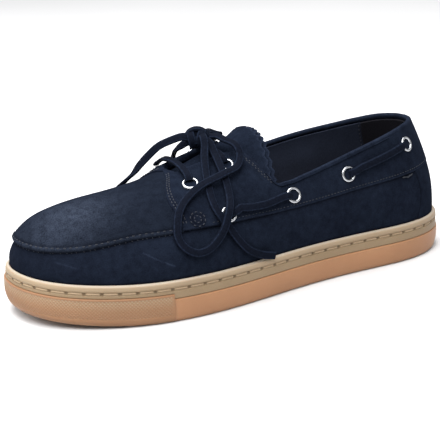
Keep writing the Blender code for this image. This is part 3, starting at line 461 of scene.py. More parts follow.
class Grid:
    """Part of the last as columns and rows of points, with the normals there."""

    def __init__(self, around, place, closed=False, shared=None):
        self.around, self.place = (np.array(a) for a in np.broadcast_arrays(around, place))
        self.points = last_point(self.around, self.place)
        self.closed = closed
        columns, rows = self.around.shape
        self.ids = np.arange(columns * rows).reshape(columns, rows)
        self.shared = np.zeros(columns, bool) if shared is None else shared
        partner = np.minimum(self.ids[:, -1], self.ids[::-1, -1])
        self.ids[:, -1] = np.where(self.shared, partner, self.ids[:, -1])
        self.normals = self.measure_normals()

    def quads(self):
        first = np.arange(len(self.ids) if self.closed else len(self.ids) - 1)
        second = (first + 1) % len(self.ids)
        low, high = self.ids[:, :-1], self.ids[:, 1:]
        return np.stack([low[first], low[second], high[second], high[first]], axis=-1).reshape(-1, 4)

    def measure_normals(self):
        flat = self.points.reshape(-1, 3)
        quads = self.quads()
        p, q, r, s = (flat[quads[:, k]] for k in range(4))
        normal = np.cross(r - p, s - q)
        sums = np.zeros_like(flat)
        for k in range(4):
            np.add.at(sums, quads[:, k], normal)
        sums = unit(sums[self.ids.reshape(-1)])
        core = flat * (0.9, 0, 0) + (0, 0, 0.02)
        if np.sum(sums * (flat - core)) < 0:
            sums = -sums
        return sums.reshape(self.points.shape)

    def rim(self):
        """Edges of the open sides, as pairs of point numbers."""
        pairs = []
        count = len(self.ids)
        for i in range(count if self.closed else count - 1):
            j = (i + 1) % count
            pairs.append((self.ids[i, 0], self.ids[j, 0]))
            if not (self.shared[i] and self.shared[j]):
                pairs.append((self.ids[j, -1], self.ids[i, -1]))
        if not self.closed:
            for column in (self.ids[0], self.ids[-1]):
                pairs += list(zip(column[:-1], column[1:]))
        return pairs

    def along(self, axis):
        """Distance from the first column or row, over the surface."""
        steps = np.linalg.norm(np.diff(self.points, axis=axis), axis=-1)
        zero = np.zeros_like(np.take(steps, [0], axis=axis))
        return np.concatenate([zero, np.cumsum(steps, axis=axis)], axis=axis)


def rounded(distance, radius):
    """Height of a quarter-round edge, from 0 at the edge to 1 at its radius."""
    return np.sqrt(1 - (1 - np.clip(distance / radius, 0, 1)) ** 2)


def bump(value, middle, width):
    return np.exp(-((value - middle) / width) ** 2)


# Making pieces

def make_piece(name, points, faces, finish, slot, values=None, angle=40):
    """One mesh from points and faces, riding on the shoe, with its finish and its point values."""
    clean = []
    for face in faces:
        corners = list(dict.fromkeys(int(corner) for corner in face))
        if len(corners) > 2:
            clean.append(corners)
    used = np.unique(np.concatenate([np.array(face) for face in clean]))
    number = np.full(len(points), -1)
    number[used] = np.arange(len(used))
    mesh = bpy.data.meshes.new(name)
    mesh.from_pydata(np.asarray(points)[used].tolist(), [], [number[face].tolist() for face in clean])
    for key, value in (values or {}).items():
        attribute = mesh.attributes.new(key, "FLOAT", "POINT")
        attribute.data.foreach_set("value", np.asarray(value, np.float32)[used])
    cage = bmesh.new()
    cage.from_mesh(mesh)
    bmesh.ops.recalc_face_normals(cage, faces=cage.faces[:])
    cage.to_mesh(mesh)
    cage.free()
    mesh.shade_smooth()
    mesh.set_sharp_from_angle(angle=math.radians(angle))
    mesh.materials.append(finish)
    piece = bpy.data.objects.new(name, mesh)
    bpy.context.scene.collection.objects.link(piece)
    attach(piece, "root")
    return piece


def sheet(name, grid, outside, inside, finish, slot, values=None, angle=40):
    """A thick sheet on the last, between two offsets from it."""
    layers = [grid.points + grid.normals * np.broadcast_to(offset, grid.place.shape)[..., None]
              for offset in (outside, inside)]
    points = np.concatenate([layer.reshape(-1, 3) for layer in layers])
    under = grid.place.size
    quads = grid.quads()
    faces = list(quads) + list(quads[:, ::-1] + under)
    faces += [(a, b, b + under, a + under) for a, b in grid.rim()]
    both = {key: np.concatenate([np.broadcast_to(value, grid.place.shape).reshape(-1)] * 2)
            for key, value in (values or {}).items()}
    return make_piece(name, points, faces, finish, slot, both, angle)


def merged(parts):
    """Several point and face lists as one."""
    points, faces, start = [], [], 0
    for part_points, part_faces in parts:
        points.append(np.asarray(part_points))
        faces += [[corner + start for corner in face] for face in part_faces]
        start += len(part_points)
    return np.concatenate(points), faces


def through(points, steps):
    """A smooth curve through given points."""
    points = np.asarray(points, dtype=float)
    keys = np.concatenate([[0], np.cumsum(np.sqrt(np.linalg.norm(np.diff(points, axis=0), axis=1)))])
    return smooth(keys, points, np.linspace(0, keys[-1], steps))


def ring_faces(levels, sides, closed=False):
    """Quads between rings of points that follow one another; closed joins the last to the first."""
    faces = []
    for level in range(levels if closed else levels - 1):
        low, high = level * sides, (level + 1) % levels * sides
        for k in range(sides):
            m = (k + 1) % sides
            faces.append((low + k, low + m, high + m, high + k))
    return faces


def end_faces(levels, sides):
    """Flat faces over the first and the last ring."""
    return [tuple(range(sides)), tuple(range((levels - 1) * sides, levels * sides))]


def sweep(path, ups, ring, closed=False):
    """Carries a ring of across and up pairs along a path, with flat ends."""
    path = np.asarray(path, dtype=float)
    count = len(path)
    if closed:
        along = unit(np.roll(path, -1, axis=0) - np.roll(path, 1, axis=0))
    else:
        along = unit(np.gradient(path, axis=0))
    across = unit(np.cross(along, ups))
    ups = unit(np.cross(across, along))
    ring = np.asarray(ring)
    points = path[:, None] + across[:, None] * ring[:, :1] + ups[:, None] * ring[:, 1:]
    faces = ring_faces(count, len(ring), closed)
    if not closed:
        faces += end_faces(count, len(ring))
    return points.reshape(-1, 3), faces


def lace_ring():
    """Cross-section of the leather lace: a flat strap with round sides and a painted highlight line near
    each.
    """
    ring, rim = [], []
    for k in range(LACE_SIDES):
        angle = 2 * math.pi * (k + 0.5) / LACE_SIDES
        across = math.copysign(abs(math.cos(angle)) ** 0.8, math.cos(angle))
        up = math.copysign(abs(math.sin(angle)) ** 0.7, math.sin(angle))
        ring.append((across * LACE_SEEN_WIDTH / 2, up * LACE_SEEN_THICKNESS / 2))
        rim.append(float(bump(abs(across), 0.80, 0.09)))
    return ring, rim


LACE_SIDES = 28
CAPSULE = ((-0.50, 0.25), (-0.42, 0.75), (-0.22, 1.0), (0.22, 1.0), (0.42, 0.75), (0.50, 0.25))


def stitch_row(path, ups, pitch, length, radius, sides=6, slant=0.0, jitter=0.08):
    """Short rounded stitches along a line, as one point and face list."""
    path = np.asarray(path)
    lengths = run_along(path)
    count = max(1, int(lengths[-1] / pitch))
    parts = []
    for k in range(count):
        at = (k + 0.5 + random.uniform(-jitter, jitter)) * lengths[-1] / count
        point, ahead, up = (
            np.array([np.interp(where, lengths, line[:, n]) for n in range(3)])
            for where, line in ((at, path), (at + 0.0005, path), (at, np.asarray(ups)))
        )
        along = unit(ahead - point)
        across = unit(np.cross(along, up))
        along = unit(along + across * slant)
        across = unit(np.cross(along, up))
        up = np.cross(across, along)
        long = length * random.uniform(0.92, 1.08)
        ring_points = []
        for reach, size in CAPSULE:
            for n in range(sides):
                angle = 2 * math.pi * n / sides
                offset = across * math.cos(angle) + up * math.sin(angle)
                ring_points.append(point + along * reach * long + offset * radius * size)
        parts.append((ring_points, ring_faces(len(CAPSULE), sides) + end_faces(len(CAPSULE), sides)))
    return merged(parts)


# Materials

def srgb(red, green, blue):
    """A colour as it looks on screen, from 0 to 255, as linear light."""
    levels = []
    for value in (red, green, blue):
        level = value / 255
        levels.append(level / 12.92 if level <= 0.04045 else ((level + 0.055) / 1.055) ** 2.4)
    return (*levels, 1.0)


class Paint:
    """A material's node tree, with short calls for its nodes."""

    def __init__(self, name, roughness, metallic=0.0, **sockets):
        self.material = bpy.data.materials.new(name)
        self.material.use_nodes = True
        self.tree = self.material.node_tree
        self.shader = self.tree.nodes["Principled BSDF"]
        self.shader.inputs["Roughness"].default_value = roughness
        self.shader.inputs["Metallic"].default_value = metallic
        for key, value in sockets.items():
            self.shader.inputs[key.replace("_", " ")].default_value = value
        self.where = self.tree.nodes.new("ShaderNodeTexCoord").outputs["Object"]

    def node(self, kind, inputs, **settings):
        node = self.tree.nodes.new("ShaderNode" + kind)
        for key, value in settings.items():
            setattr(node, key, value)
        for key, value in inputs.items():
            if isinstance(value, bpy.types.NodeSocket):
                self.tree.links.new(value, node.inputs[key])
            else:
                node.inputs[key].default_value = value
        return node

    def noise(self, scale, detail=3.0, low=0.3, high=0.7, stretch=(1, 1, 1)):
        place = self.node("Mapping", {"Vector": self.where, "Scale": stretch}).outputs[0]
        noise = self.node("TexNoise", {"Vector": place, "Scale": scale, "Detail": detail})
        spread = self.node("MapRange", {"Value": noise.outputs["Fac"], "From Min": low, "From Max": high})
        return spread.outputs["Result"]

    def value(self, name):
        return self.node("Attribute", {}, attribute_name=name).outputs["Fac"]

    def math(self, operation, first, second, clamp=False):
        return self.node("Math", {0: first, 1: second}, operation=operation, use_clamp=clamp).outputs[0]

    def mix(self, factor, first, second):
        return self.node("Mix", {0: factor, 6: first, 7: second}, data_type="RGBA").outputs[2]

    def colour(self, socket):
        self.tree.links.new(socket, self.shader.inputs["Base Color"])

    def relief(self, *layers):
        """Bump layers, each with a height, a strength and a depth in metres."""
        normal = None
        for height, strength, depth in layers:
            inputs = {"Height": height, "Strength": strength, "Distance": depth}
            if normal is not None:
                inputs["Normal"] = normal
            normal = self.node("Bump", inputs).outputs["Normal"]
        self.tree.links.new(normal, self.shader.inputs["Normal"])


def suede(name, dark, light, worn_and_highlight):
    """Napped leather: cloudy patches, a fine fibre grain, lighter where the nap is brushed and where a
    highlight is painted, and darker where shade is painted.
    """
    paint = Paint(name, 0.95, Sheen_Weight=0.03, Sheen_Roughness=0.4, Sheen_Tint=srgb(150, 160, 190),
                  Specular_IOR_Level=0.0)
    clouds = paint.noise(48, 4, 0.32, 0.68)
    patches = paint.noise(240, 6, 0.32, 0.68)
    fibres = paint.noise(1500, 4, 0.3, 0.7)
    mottle = paint.math("MULTIPLY", clouds, 0.25)
    mottle = paint.math("ADD", mottle, paint.math("MULTIPLY", patches, 0.35))
    mottle = paint.math("ADD", mottle, paint.math("MULTIPLY", fibres, 0.4), clamp=True)
    base = paint.mix(mottle, dark, light)
    nap = paint.math("ADD", paint.math("MULTIPLY", patches, 0.35), paint.math("MULTIPLY", fibres, 0.8))
    # Lighter towards the worn colour for brushed nap and for painted highlights
    nap_wear_and_highlight = paint.math("MULTIPLY", paint.value("wear_and_highlight"), nap, clamp=True)
    base = paint.mix(nap_wear_and_highlight, base, worn_and_highlight)
    paint.colour(paint.mix(paint.math("MULTIPLY", paint.value("shade"), 0.85), base, srgb(9, 10, 16)))
    paint.relief((patches, 0.25, 0.0003), (fibres, 0.5, 0.0002))
    return paint.material


def lining_cloth():
    paint = Paint("navy_lining", 0.85, Specular_IOR_Level=0.06)
    clouds = paint.noise(70, 4)
    weave = paint.noise(1700, 2, 0.3, 0.7, (1, 1, 0.5))
    base = paint.mix(paint.math("MULTIPLY", clouds, 0.6), srgb(27, 31, 42), srgb(37, 42, 56))
    base = paint.mix(paint.math("MULTIPLY", weave, 0.35), base, srgb(46, 51, 64))
    paint.colour(paint.mix(paint.value("shade"), base, srgb(20, 18, 20)))
    paint.relief((weave, 0.5, 0.00015))
    return paint.material


def lace_leather():
    paint = Paint("navy_lace_leather", 0.8, Specular_IOR_Level=0.02)
    grain = paint.noise(900, 5, 0.3, 0.7)
    pores = paint.noise(3200, 2, 0.3, 0.7)
    base = paint.mix(grain, srgb(9, 12, 20), srgb(14, 18, 28))
    # Painted highlight lines near the lace's rounded sides
    rim = paint.math("MULTIPLY", paint.value("rim"), paint.math("ADD", grain, 0.2), clamp=True)
    paint.colour(paint.mix(rim, base, srgb(27, 35, 50)))
    paint.relief((grain, 0.3, 0.0002), (pores, 0.3, 0.0001))
    return paint.material


def rubber(name, low, high, speck, pale, deep, roughness):
    paint = Paint(name, roughness, Specular_IOR_Level=0.25, Subsurface_Weight=0.05,
                  Subsurface_Scale=0.002)
    clouds = paint.noise(25, 3)
    grain = paint.noise(1500, 3, 0.35, 0.65)
    base = paint.mix(clouds, low, high)
    base = paint.mix(paint.math("MULTIPLY", grain, 0.18), base, speck)
    # Pale for wear and for painted highlights, deep for painted shade
    base = paint.mix(paint.value("wear_and_highlight"), base, pale)
    paint.colour(paint.mix(paint.value("shade"), base, deep))
    paint.relief((grain, 0.25, 0.0001))
    return paint.material


def plain(name, first, second, roughness, metallic=0.0, scale=900, depth=0.00008):
    paint = Paint(name, roughness, metallic)
    grain = paint.noise(scale, 3)
    paint.colour(paint.mix(grain, first, second))
    paint.relief((grain, 0.3, depth))
    return paint.material


def make_materials():
    return {
        "suede": suede("navy_suede", srgb(10, 13, 21), srgb(25, 31, 43), srgb(50, 58, 76)),
        "plug": suede("navy_suede_brushed", srgb(10, 13, 20), srgb(20, 25, 35), srgb(70, 78, 94)),
        "lining": lining_cloth(),
        "lace": lace_leather(),
        "gum": rubber("gum_rubber", srgb(146, 106, 76), srgb(156, 114, 82), srgb(134, 98, 70),
                      srgb(170, 156, 130), srgb(84, 64, 46), 0.45),
        "beige": rubber("pale_rubber", srgb(136, 116, 90), srgb(144, 124, 98), srgb(122, 104, 80),
                        srgb(164, 155, 143), srgb(80, 62, 42), 0.5),
        "thread": plain("navy_thread", srgb(12, 15, 23), srgb(24, 29, 40), 0.8),
        "pale_thread": plain("pale_thread", srgb(134, 113, 86), srgb(142, 121, 95), 0.6),
        "silver": plain("polished_silver", srgb(178, 180, 184), srgb(186, 188, 192), 0.22, 1.0, 300,
                        0.000002),
    }


# Sole

def sole_shares():
    """Shares round one side, close together where the bumper's knurl needs it."""
    back = np.linspace(0, BUMPER_END - 0.0006, 190)
    front = np.linspace(BUMPER_END + 0.0006, 1, 340)
    return np.concatenate([back, front])


class Rings:
    """Rings round the sole's edge, each at its own inset and height."""

    def __init__(self, shares):
        outer_point, outer_in = edge_frame("outer", shares)
        inner_point, inner_in = edge_frame("inner", shares)
        self.point = np.concatenate([outer_point, inner_point[-2:0:-1]])
        self.inwards = np.concatenate([outer_in, inner_in[-2:0:-1]])
        self.share = np.concatenate([shares, shares[-2:0:-1]])
        self.run = run_along(self.point)
        self.bumper = (self.share > BUMPER_END).astype(float)

    def place(self, inset, height):
        plan = self.point + self.inwards * np.broadcast_to(inset, self.share.shape)[:, None]
        return np.column_stack([plan, height + spring(plan[:, 0])]) - CENTRE

    def side(self, inset, height):
        """A ring on the rounded side."""
        height = np.broadcast_to(height, self.share.shape)
        rocker = TOE_ROCKER * toe_weight(self.share) * np.maximum(0.0, 1 - height / BARREL_WIDEST)
        return self.place(inset + barrel(self.share, height), height + rocker)

    def inner(self, gap, height):
        """A ring at a gap inside the inner face."""
        return self.place(wall_inset(self.share) + gap, np.broadcast_to(height, self.share.shape))


def across_floor(loop, steps):
    """Rows of points across a flat ring, with the halves of the ring that they run between."""
    half = (len(loop) + 2) // 2
    outer, inner = loop[:half], np.concatenate([loop[:1], loop[:half - 2:-1]])
    blend = np.linspace(0, 1, steps)[None, :, None]
    return outer[:, None] * (1 - blend) + inner[:, None] * blend, outer, inner


def grid_faces(rows, steps, start=0):
    """Quads of a grid of points, row by row."""
    corners = [start + i * steps + k for i in range(rows - 1) for k in range(steps - 1)]
    return [(a, a + 1, a + 1 + steps, a + steps) for a in corners]


def make_outsole(paints):
    """Gum cup with its knurled toe bumper, and the siped underside."""
    rings = Rings(sole_shares())
    count = len(rings.share)
    top = GUM_HEIGHT + (BUMPER_HEIGHT - GUM_HEIGHT) * rings.bumper
    loops = []
    for turn in np.linspace(0, math.pi / 2, 5):
        inset = EDGE_BEVEL * (1 - math.sin(turn)) + (BUMPER_PROUD * (1 - rings.bumper)) * math.sin(turn)
        loops.append(rings.side(inset, EDGE_BEVEL * (1 - math.cos(turn))))
    knurl = [np.zeros(count)] * len(loops)
    for row in range(1, KNURL_ROWS + 1):
        up = row / KNURL_ROWS
        height = EDGE_BEVEL + (top - 0.0005 - EDGE_BEVEL) * up
        across = 2 * math.pi * rings.run / KNURL_PITCH
        rise = 2 * math.pi * height / KNURL_PITCH
        diamond = (np.cos(across + rise) + np.cos(across - rise)) / 4
        fade = ease(up, 0.10, 0.16) * (1 - ease(up, 0.93, 0.98)) * rings.bumper
        fade = fade * ease(rings.share, BUMPER_END, BUMPER_END + 0.008)
        inset = BUMPER_PROUD * (1 - rings.bumper) + KNURL_DEPTH * fade * (0.5 - diamond)
        loops.append(rings.side(inset, height))
        # Paler on the knurl's peaks, a painted highlight, and paler towards the top of the bumper
        peak = ease(diamond, -0.1, 0.4)
        high = ease(up, 0.45, 0.95)
        knurl.append(fade * (0.25 * peak + high * (0.25 + 0.50 * peak)))
    for turn in np.linspace(0, math.pi / 2, 4)[1:]:
        inset = BUMPER_PROUD * (1 - rings.bumper) + 0.0005 * (1 - math.cos(turn))
        loops.append(rings.side(inset, top - 0.0005 + 0.0005 * math.sin(turn)))
    loops.append(rings.inner(0.0, top))
    loops.append(rings.inner(0.0, CUP_FLOOR))
    points = [np.concatenate(loops)]
    faces = ring_faces(len(loops), count)
    knurl += [np.zeros(count)] * (len(loops) - len(knurl))
    values = [np.zeros(len(points[0]))]
    for loop, siped, steps in ((loops[0], True, 44), (loops[-1], False, 4)):
        floor, outer, inner = across_floor(loop, steps)
        faces += grid_faces(len(floor), steps, sum(len(block) for block in points))
        depth = sipe_depth(floor, outer, inner) if siped else np.zeros(floor.shape[:2])
        floor[..., 2] += depth
        points.append(floor.reshape(-1, 3))
        values.append((depth / TREAD_DEPTH).reshape(-1) * 0.5)
    bumper_shade = np.zeros((len(loops), count))
    bumper_shade[:len(loops) - 2] = BUMPER_SHADE * rings.bumper
    values[0] = bumper_shade.reshape(-1)
    shade = np.concatenate(values)
    wear_and_highlight = np.concatenate(knurl + [np.zeros(len(shade) - len(points[0]))])
    outsole = make_piece("outsole_looks", np.concatenate(points), faces, paints["gum"], "gum rubber",
                         {"shade": shade, "wear_and_highlight": wear_and_highlight}, 50)
    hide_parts("outsole")


KNURL_PITCH = 0.0021
KNURL_DEPTH = 0.00060
KNURL_ROWS = 26
BUMPER_SHADE = 0.35


def sipe_depth(floor, outer, inner):
    """Depth of the wavy sipes at points of the underside."""
    x = floor[..., 0] + CENTRE[0]
    y = floor[..., 1]
    border = np.minimum(np.linalg.norm(floor - outer[:, None], axis=-1),
                        np.linalg.norm(floor - inner[:, None], axis=-1))
    depth = np.zeros(x.shape)
    wavy = x + 0.0016 * np.sin(2 * math.pi * y / 0.012)
    for start, end in SIPE_ZONES:
        count = int((end - start) * SOLE_LENGTH / SIPE_PITCH)
        middles = start * SOLE_LENGTH + np.arange(count) * SIPE_PITCH
        gap = np.min(np.abs(wavy[..., None] - middles), axis=-1)
        depth = np.maximum(depth, TREAD_DEPTH * (1 - ease(gap, SIPE_WIDTH * 0.3, SIPE_WIDTH * 0.7)))
    return depth * ease(border, TREAD_BORDER * 0.8, TREAD_BORDER)


STITCH_PITCH = 0.0102
STITCH_GAP = 0.0021
STITCH_SIDES = 8
SIDEWALL_COLUMNS = 640


def make_sidewall(paints):
    """Pale band over the gum: rounded lip with a painted highlight, flush stitches with short gaps in painted
    shade, a strip under them.
    """
    rings = Rings(np.linspace(0, 1, SIDEWALL_COLUMNS))
    count = len(rings.share)
    foot = GUM_HEIGHT + FIT + (BUMPER_HEIGHT - GUM_HEIGHT) * rings.bumper
    face = 2 * BUMPER_PROUD
    line = rings.side(face, GROOVE_HEIGHT)
    run = run_along(np.vstack([line, line[:1]]))
    stitches = round(run[-1] / STITCH_PITCH)
    pitch = run[-1] / stitches
    off = np.abs((run[:-1] / pitch) % 1 - 0.5) * pitch
    gap = 1 - ease(off, STITCH_GAP * 0.35, STITCH_GAP * 0.65)
    loops = [rings.inner(0.0, foot), rings.side(face + 0.0003, foot)]
    shade = [np.full(count, 0.3), np.full(count, 0.35)]
    wear_and_highlight = [np.full(count, 0.1), np.full(count, 0.1)]
    low = GROOVE_HEIGHT - GROOVE_WIDTH
    for up in np.linspace(0.03, 1, 7):
        loops.append(rings.side(face, foot + (low - foot) * up))
        shade.append(np.full(count, 0.26))
        wear_and_highlight.append(np.zeros(count))
    for up in np.linspace(-0.8, 1, 10):
        height = GROOVE_HEIGHT + up * GROOVE_WIDTH
        across = math.sqrt(max(0.0, 1 - up * up))
        ledge = face + (BUMPER_PROUD - face) * float(ease(up, 0.4, 1.0))
        crease = 0.00022 * bump(up, -0.75, 0.25) + 0.00022 * bump(up, 0.8, 0.25)
        loops.append(rings.side(ledge + crease + GROOVE_DEPTH * 0.6 * across * gap, height))
        # Painted shade under the groove's upper edge and deep in the gaps between the stitches
        shade.append(np.clip(0.12 + 0.12 * bump(up, 0.8, 0.3) + 0.65 * across * gap, 0, 1))
        wear_and_highlight.append(np.zeros(count))
    top = SIDE_HEIGHT - SIDE_LIP
    loops.append(rings.side(BUMPER_PROUD, (GROOVE_HEIGHT + GROOVE_WIDTH + top) / 2))
    shade.append(np.full(count, 0.04))
    wear_and_highlight.append(np.full(count, 0.1))
    # The lip turns lighter towards its top and over its top face: a painted highlight
    for turn in np.linspace(0, math.pi / 2, 7):
        inset = BUMPER_PROUD + SIDE_LIP * (1 - math.cos(turn))
        loops.append(rings.side(inset, top + SIDE_LIP * math.sin(turn)))
        shade.append(np.zeros(count))
        wear_and_highlight.append(np.full(count, 0.1 + 0.7 * math.sin(turn) ** 2))
    loops.append(rings.inner(0.0, SIDE_HEIGHT))
    shade.append(np.full(count, 0.3))
    wear_and_highlight.append(np.full(count, 0.6))
    faces = ring_faces(len(loops), count, True)
    wall = make_piece("sidewall_looks", np.concatenate(loops), faces, paints["beige"], "pale rubber",
                      {"shade": np.concatenate(shade), "wear_and_highlight": np.concatenate(wear_and_highlight)}, 50)
    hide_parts("sidewall")
    make_sole_stitches(line, pitch, stitches, paints)


def make_sole_stitches(line, pitch, count, paints):
    """Flush stitches of the sole's own colour between the gaps."""
    closed = np.vstack([line, line[:1]])
    run = run_along(closed)
    parts = []
    for number in range(count):
        reach = np.linspace(-0.5, 0.5, 13) * (pitch - STITCH_GAP)
        at = (number * pitch + reach) % run[-1]
        path = np.stack([np.interp(at, run, closed[:, k]) for k in range(3)], axis=-1)
        along = unit(np.gradient(path, axis=0))
        outwards = np.cross(along, (0.0, 0.0, 1.0))
        outwards *= np.sign((outwards * path).sum())
        rise = np.sqrt(1 - (np.abs(reach) / np.abs(reach).max()) ** 4)
        ring = []
        for k in range(STITCH_SIDES):
            angle = 2 * math.pi * k / STITCH_SIDES
            offset = outwards * math.cos(angle) * 0.00035 + np.array((0.0, 0.0, math.sin(angle) * 0.00055))
            ring.append(path + offset * (0.25 + 0.75 * rise[:, None]))
        ring = np.stack(ring, axis=1)
        faces = ring_faces(len(reach), STITCH_SIDES) + end_faces(len(reach), STITCH_SIDES)
        parts.append((ring.reshape(-1, 3), faces))
    make_piece("sole_stitches", *merged(parts), paints["pale_thread"], "pale rubber", None, 60)


def make_footbed(paints):
    rings = Rings(sole_shares()[::4])
    gap = FIT + WALL + FIT
    low = CUP_FLOOR + FIT
    loops = [rings.inner(gap, low)]
    for turn in np.linspace(0, math.pi / 2, 5):
        height = low + FOOTBED_THICKNESS - FOOTBED_EDGE * (1 - math.sin(turn))
        loops.append(rings.inner(gap + FOOTBED_EDGE * (1 - math.cos(turn)), height))
    faces = ring_faces(len(loops), len(rings.share))
    points = [np.concatenate(loops)]
    steps = 8
    for loop in (loops[0], loops[-1]):
        floor = across_floor(loop, steps)[0]
        faces += grid_faces(len(floor), steps, sum(len(block) for block in points))
        points.append(floor.reshape(-1, 3))
    footbed = make_piece("footbed_looks", np.concatenate(points), faces, paints["lining"], "navy lining",
                         None, 50)
    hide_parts("footbed")


# Upper

def overlay(share):
    """How far the plug, saddle or collar stands proud of the wall below the seam."""
    blend = np.clip((share - CORNER) / (FLAP_TOP - CORNER), 0, 1)
    return COLLAR_STEP + (SADDLE_STEP - COLLAR_STEP) * blend


def cover_length(around):
    """Length of each column from the seam to the top."""
    line = last_point(np.asarray(around)[:, None], np.linspace(0, 1, 17)[None])
    return np.linalg.norm(np.diff(line, axis=1), axis=-1).sum(axis=1)


def rows_up(around, low, fine, count, top=1.0):
    """Places of the rows of each column: fine steps in metres at the foot, then even ones."""
    length = cover_length(around)[:, None]
    near = low + np.asarray(fine)[None] / length
    far = np.linspace(0, 1, count + 1)[None, 1:]
    return np.concatenate([near, near[:, -1:] + (top - near[:, -1:]) * far], axis=1)


def both_sides(shares):
    """Columns from the inner side round the heel to the outer side."""
    return np.concatenate([-shares[:0:-1], shares])


def round_toe(shares):
    """Columns from the outer side round the toe to the inner side."""
    return np.concatenate([shares, -shares[-2::-1]])


CREASES = (
    ((0.0849, 0.0422, 0.0424), (0.0807, 0.0448, 0.0398), 0.0004),
    ((0.0807, 0.0448, 0.0398), (0.0757, 0.0471, 0.0368), 0.0004),
    ((0.0757, 0.0471, 0.0368), (0.0686, 0.0490, 0.0332), 0.0004),
    ((0.1311, 0.0218, 0.0395), (0.1265, 0.0263, 0.0384), 0.0005),
    ((0.1265, 0.0263, 0.0384), (0.1217, 0.0306, 0.0365), 0.0005),
)


def crease_at(points):
    """How deep in a crease of the wall each point is, from 0 to 1."""
    depth = np.zeros(points.shape[:-1])
    for start, end, width in CREASES:
        start, end = np.array(start), np.array(end)
        run = end - start
        t = np.clip(((points - start) @ run) / (run @ run), 0, 1)
        gap = np.linalg.norm(points - start - t[..., None] * run, axis=-1)
        depth = np.maximum(depth, bump(gap, 0, width))
    return depth


def make_wall(paints):
    """Suede wall round the whole foot, from inside the cup to under the overlays."""
    shares = np.linspace(0, 1, 450)
    around = np.concatenate([shares[:-1], -shares[:0:-1]])
    place = np.concatenate([[-1.8, -1.3, -1.0], np.linspace(-0.97, 0.05, 60)])
    grid = Grid(around[:, None], place[None], closed=True)
    crease = crease_at(grid.points)
    outside = -0.00025 * crease
    wear_and_highlight = 0.45 * crease
    shade = 0.75 * (1 - ease(grid.place, -1.0, -0.93)) + 0.55 * ease(grid.place, -0.10, 0.0)
    shade += 0.35 * toe_weight(np.abs(grid.around))
    wall = sheet("upper_wall", grid, outside, -WALL, paints["suede"], "navy suede",
                 {"wear_and_highlight": wear_and_highlight, "shade": np.clip(shade, 0, 1)})
    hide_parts("upper")


PLUG_FINE = np.array((0, 0.15, 0.35, 0.6, 0.9, 1.2, 1.5, 1.8, 2.1, 2.4, 2.7, 3.0, 3.3, 3.7, 4.2)) / 1000


def make_plug(paints):
    """Toe piece with a rolled edge that overhangs the wall, and a stitched line inside it."""
    around = round_toe(np.linspace(0.654, 1, 150))
    place = rows_up(around, -0.035, PLUG_FINE, 34)
    grid = Grid(around[:, None], place, shared=np.ones(len(around), bool))
    edge = grid.along(1)
    roll = 0.0003 * bump(edge, 0.0012, 0.0009) - 0.0004 * bump(edge, 0.0031, 0.0006)
    pucker = 0.00018 * np.sin(2 * math.pi * grid.along(0)[:, 3:4] / 0.0050) * bump(edge, 0.0012, 0.0012)
    puff = PLUG_PUFF * ease(np.abs(grid.around), TOE_ROUNDING_START, 0.9) * (1 - ease(grid.place, 0.2, 0.75))
    body = PLUG_STEP + puff + roll + pucker - 0.0002
    outside = 0.0002 + body * rounded(edge, 0.0016)
    x, y = grid.points[..., 0], grid.points[..., 1]
    toe_patch = np.exp(-((x - 0.114) / 0.025) ** 2 - ((y - 0.006) / 0.018) ** 2)
    wear_and_highlight = 0.38 * toe_patch + 0.10 * bump(edge, 0.0014, 0.0010) + 0.03
    shade = 0.6 * bump(edge, 0.0031, 0.0006) + 0.8 * (1 - ease(edge, 0, 0.0005))
    sheet("upper_plug", grid, outside, np.minimum(outside, -0.0002), paints["plug"], "navy suede",
          {"wear_and_highlight": wear_and_highlight, "shade": shade})
    row = int(np.argmin(np.abs(PLUG_FINE - 0.0031)))
    keep = np.abs(grid.around[:, 0]) > 0.672
    line = grid.points[keep, row] + grid.normals[keep, row] * (outside[keep, row, None] + 0.0001)
    seams = stitch_row(line, grid.normals[keep, row], 0.0036, 0.0017, 0.00032)
    make_piece("plug_stitches", *seams, paints["thread"], "navy suede", None, 60)
    foot = grid.points[keep, 0] + grid.normals[keep, 0] * 0.0004
    fibres = stitch_row(foot, grid.normals[keep, 0], 0.0034, 0.0010, 0.00022, 5, 0.9, 0.3)
    make_piece("plug_fibres", *fibres, paints["thread"], "navy suede", None, 60)


SADDLE_FINE = np.array((0, 0.12, 0.3, 0.55, 0.85, 1.2, 1.7, 2.3)) / 1000


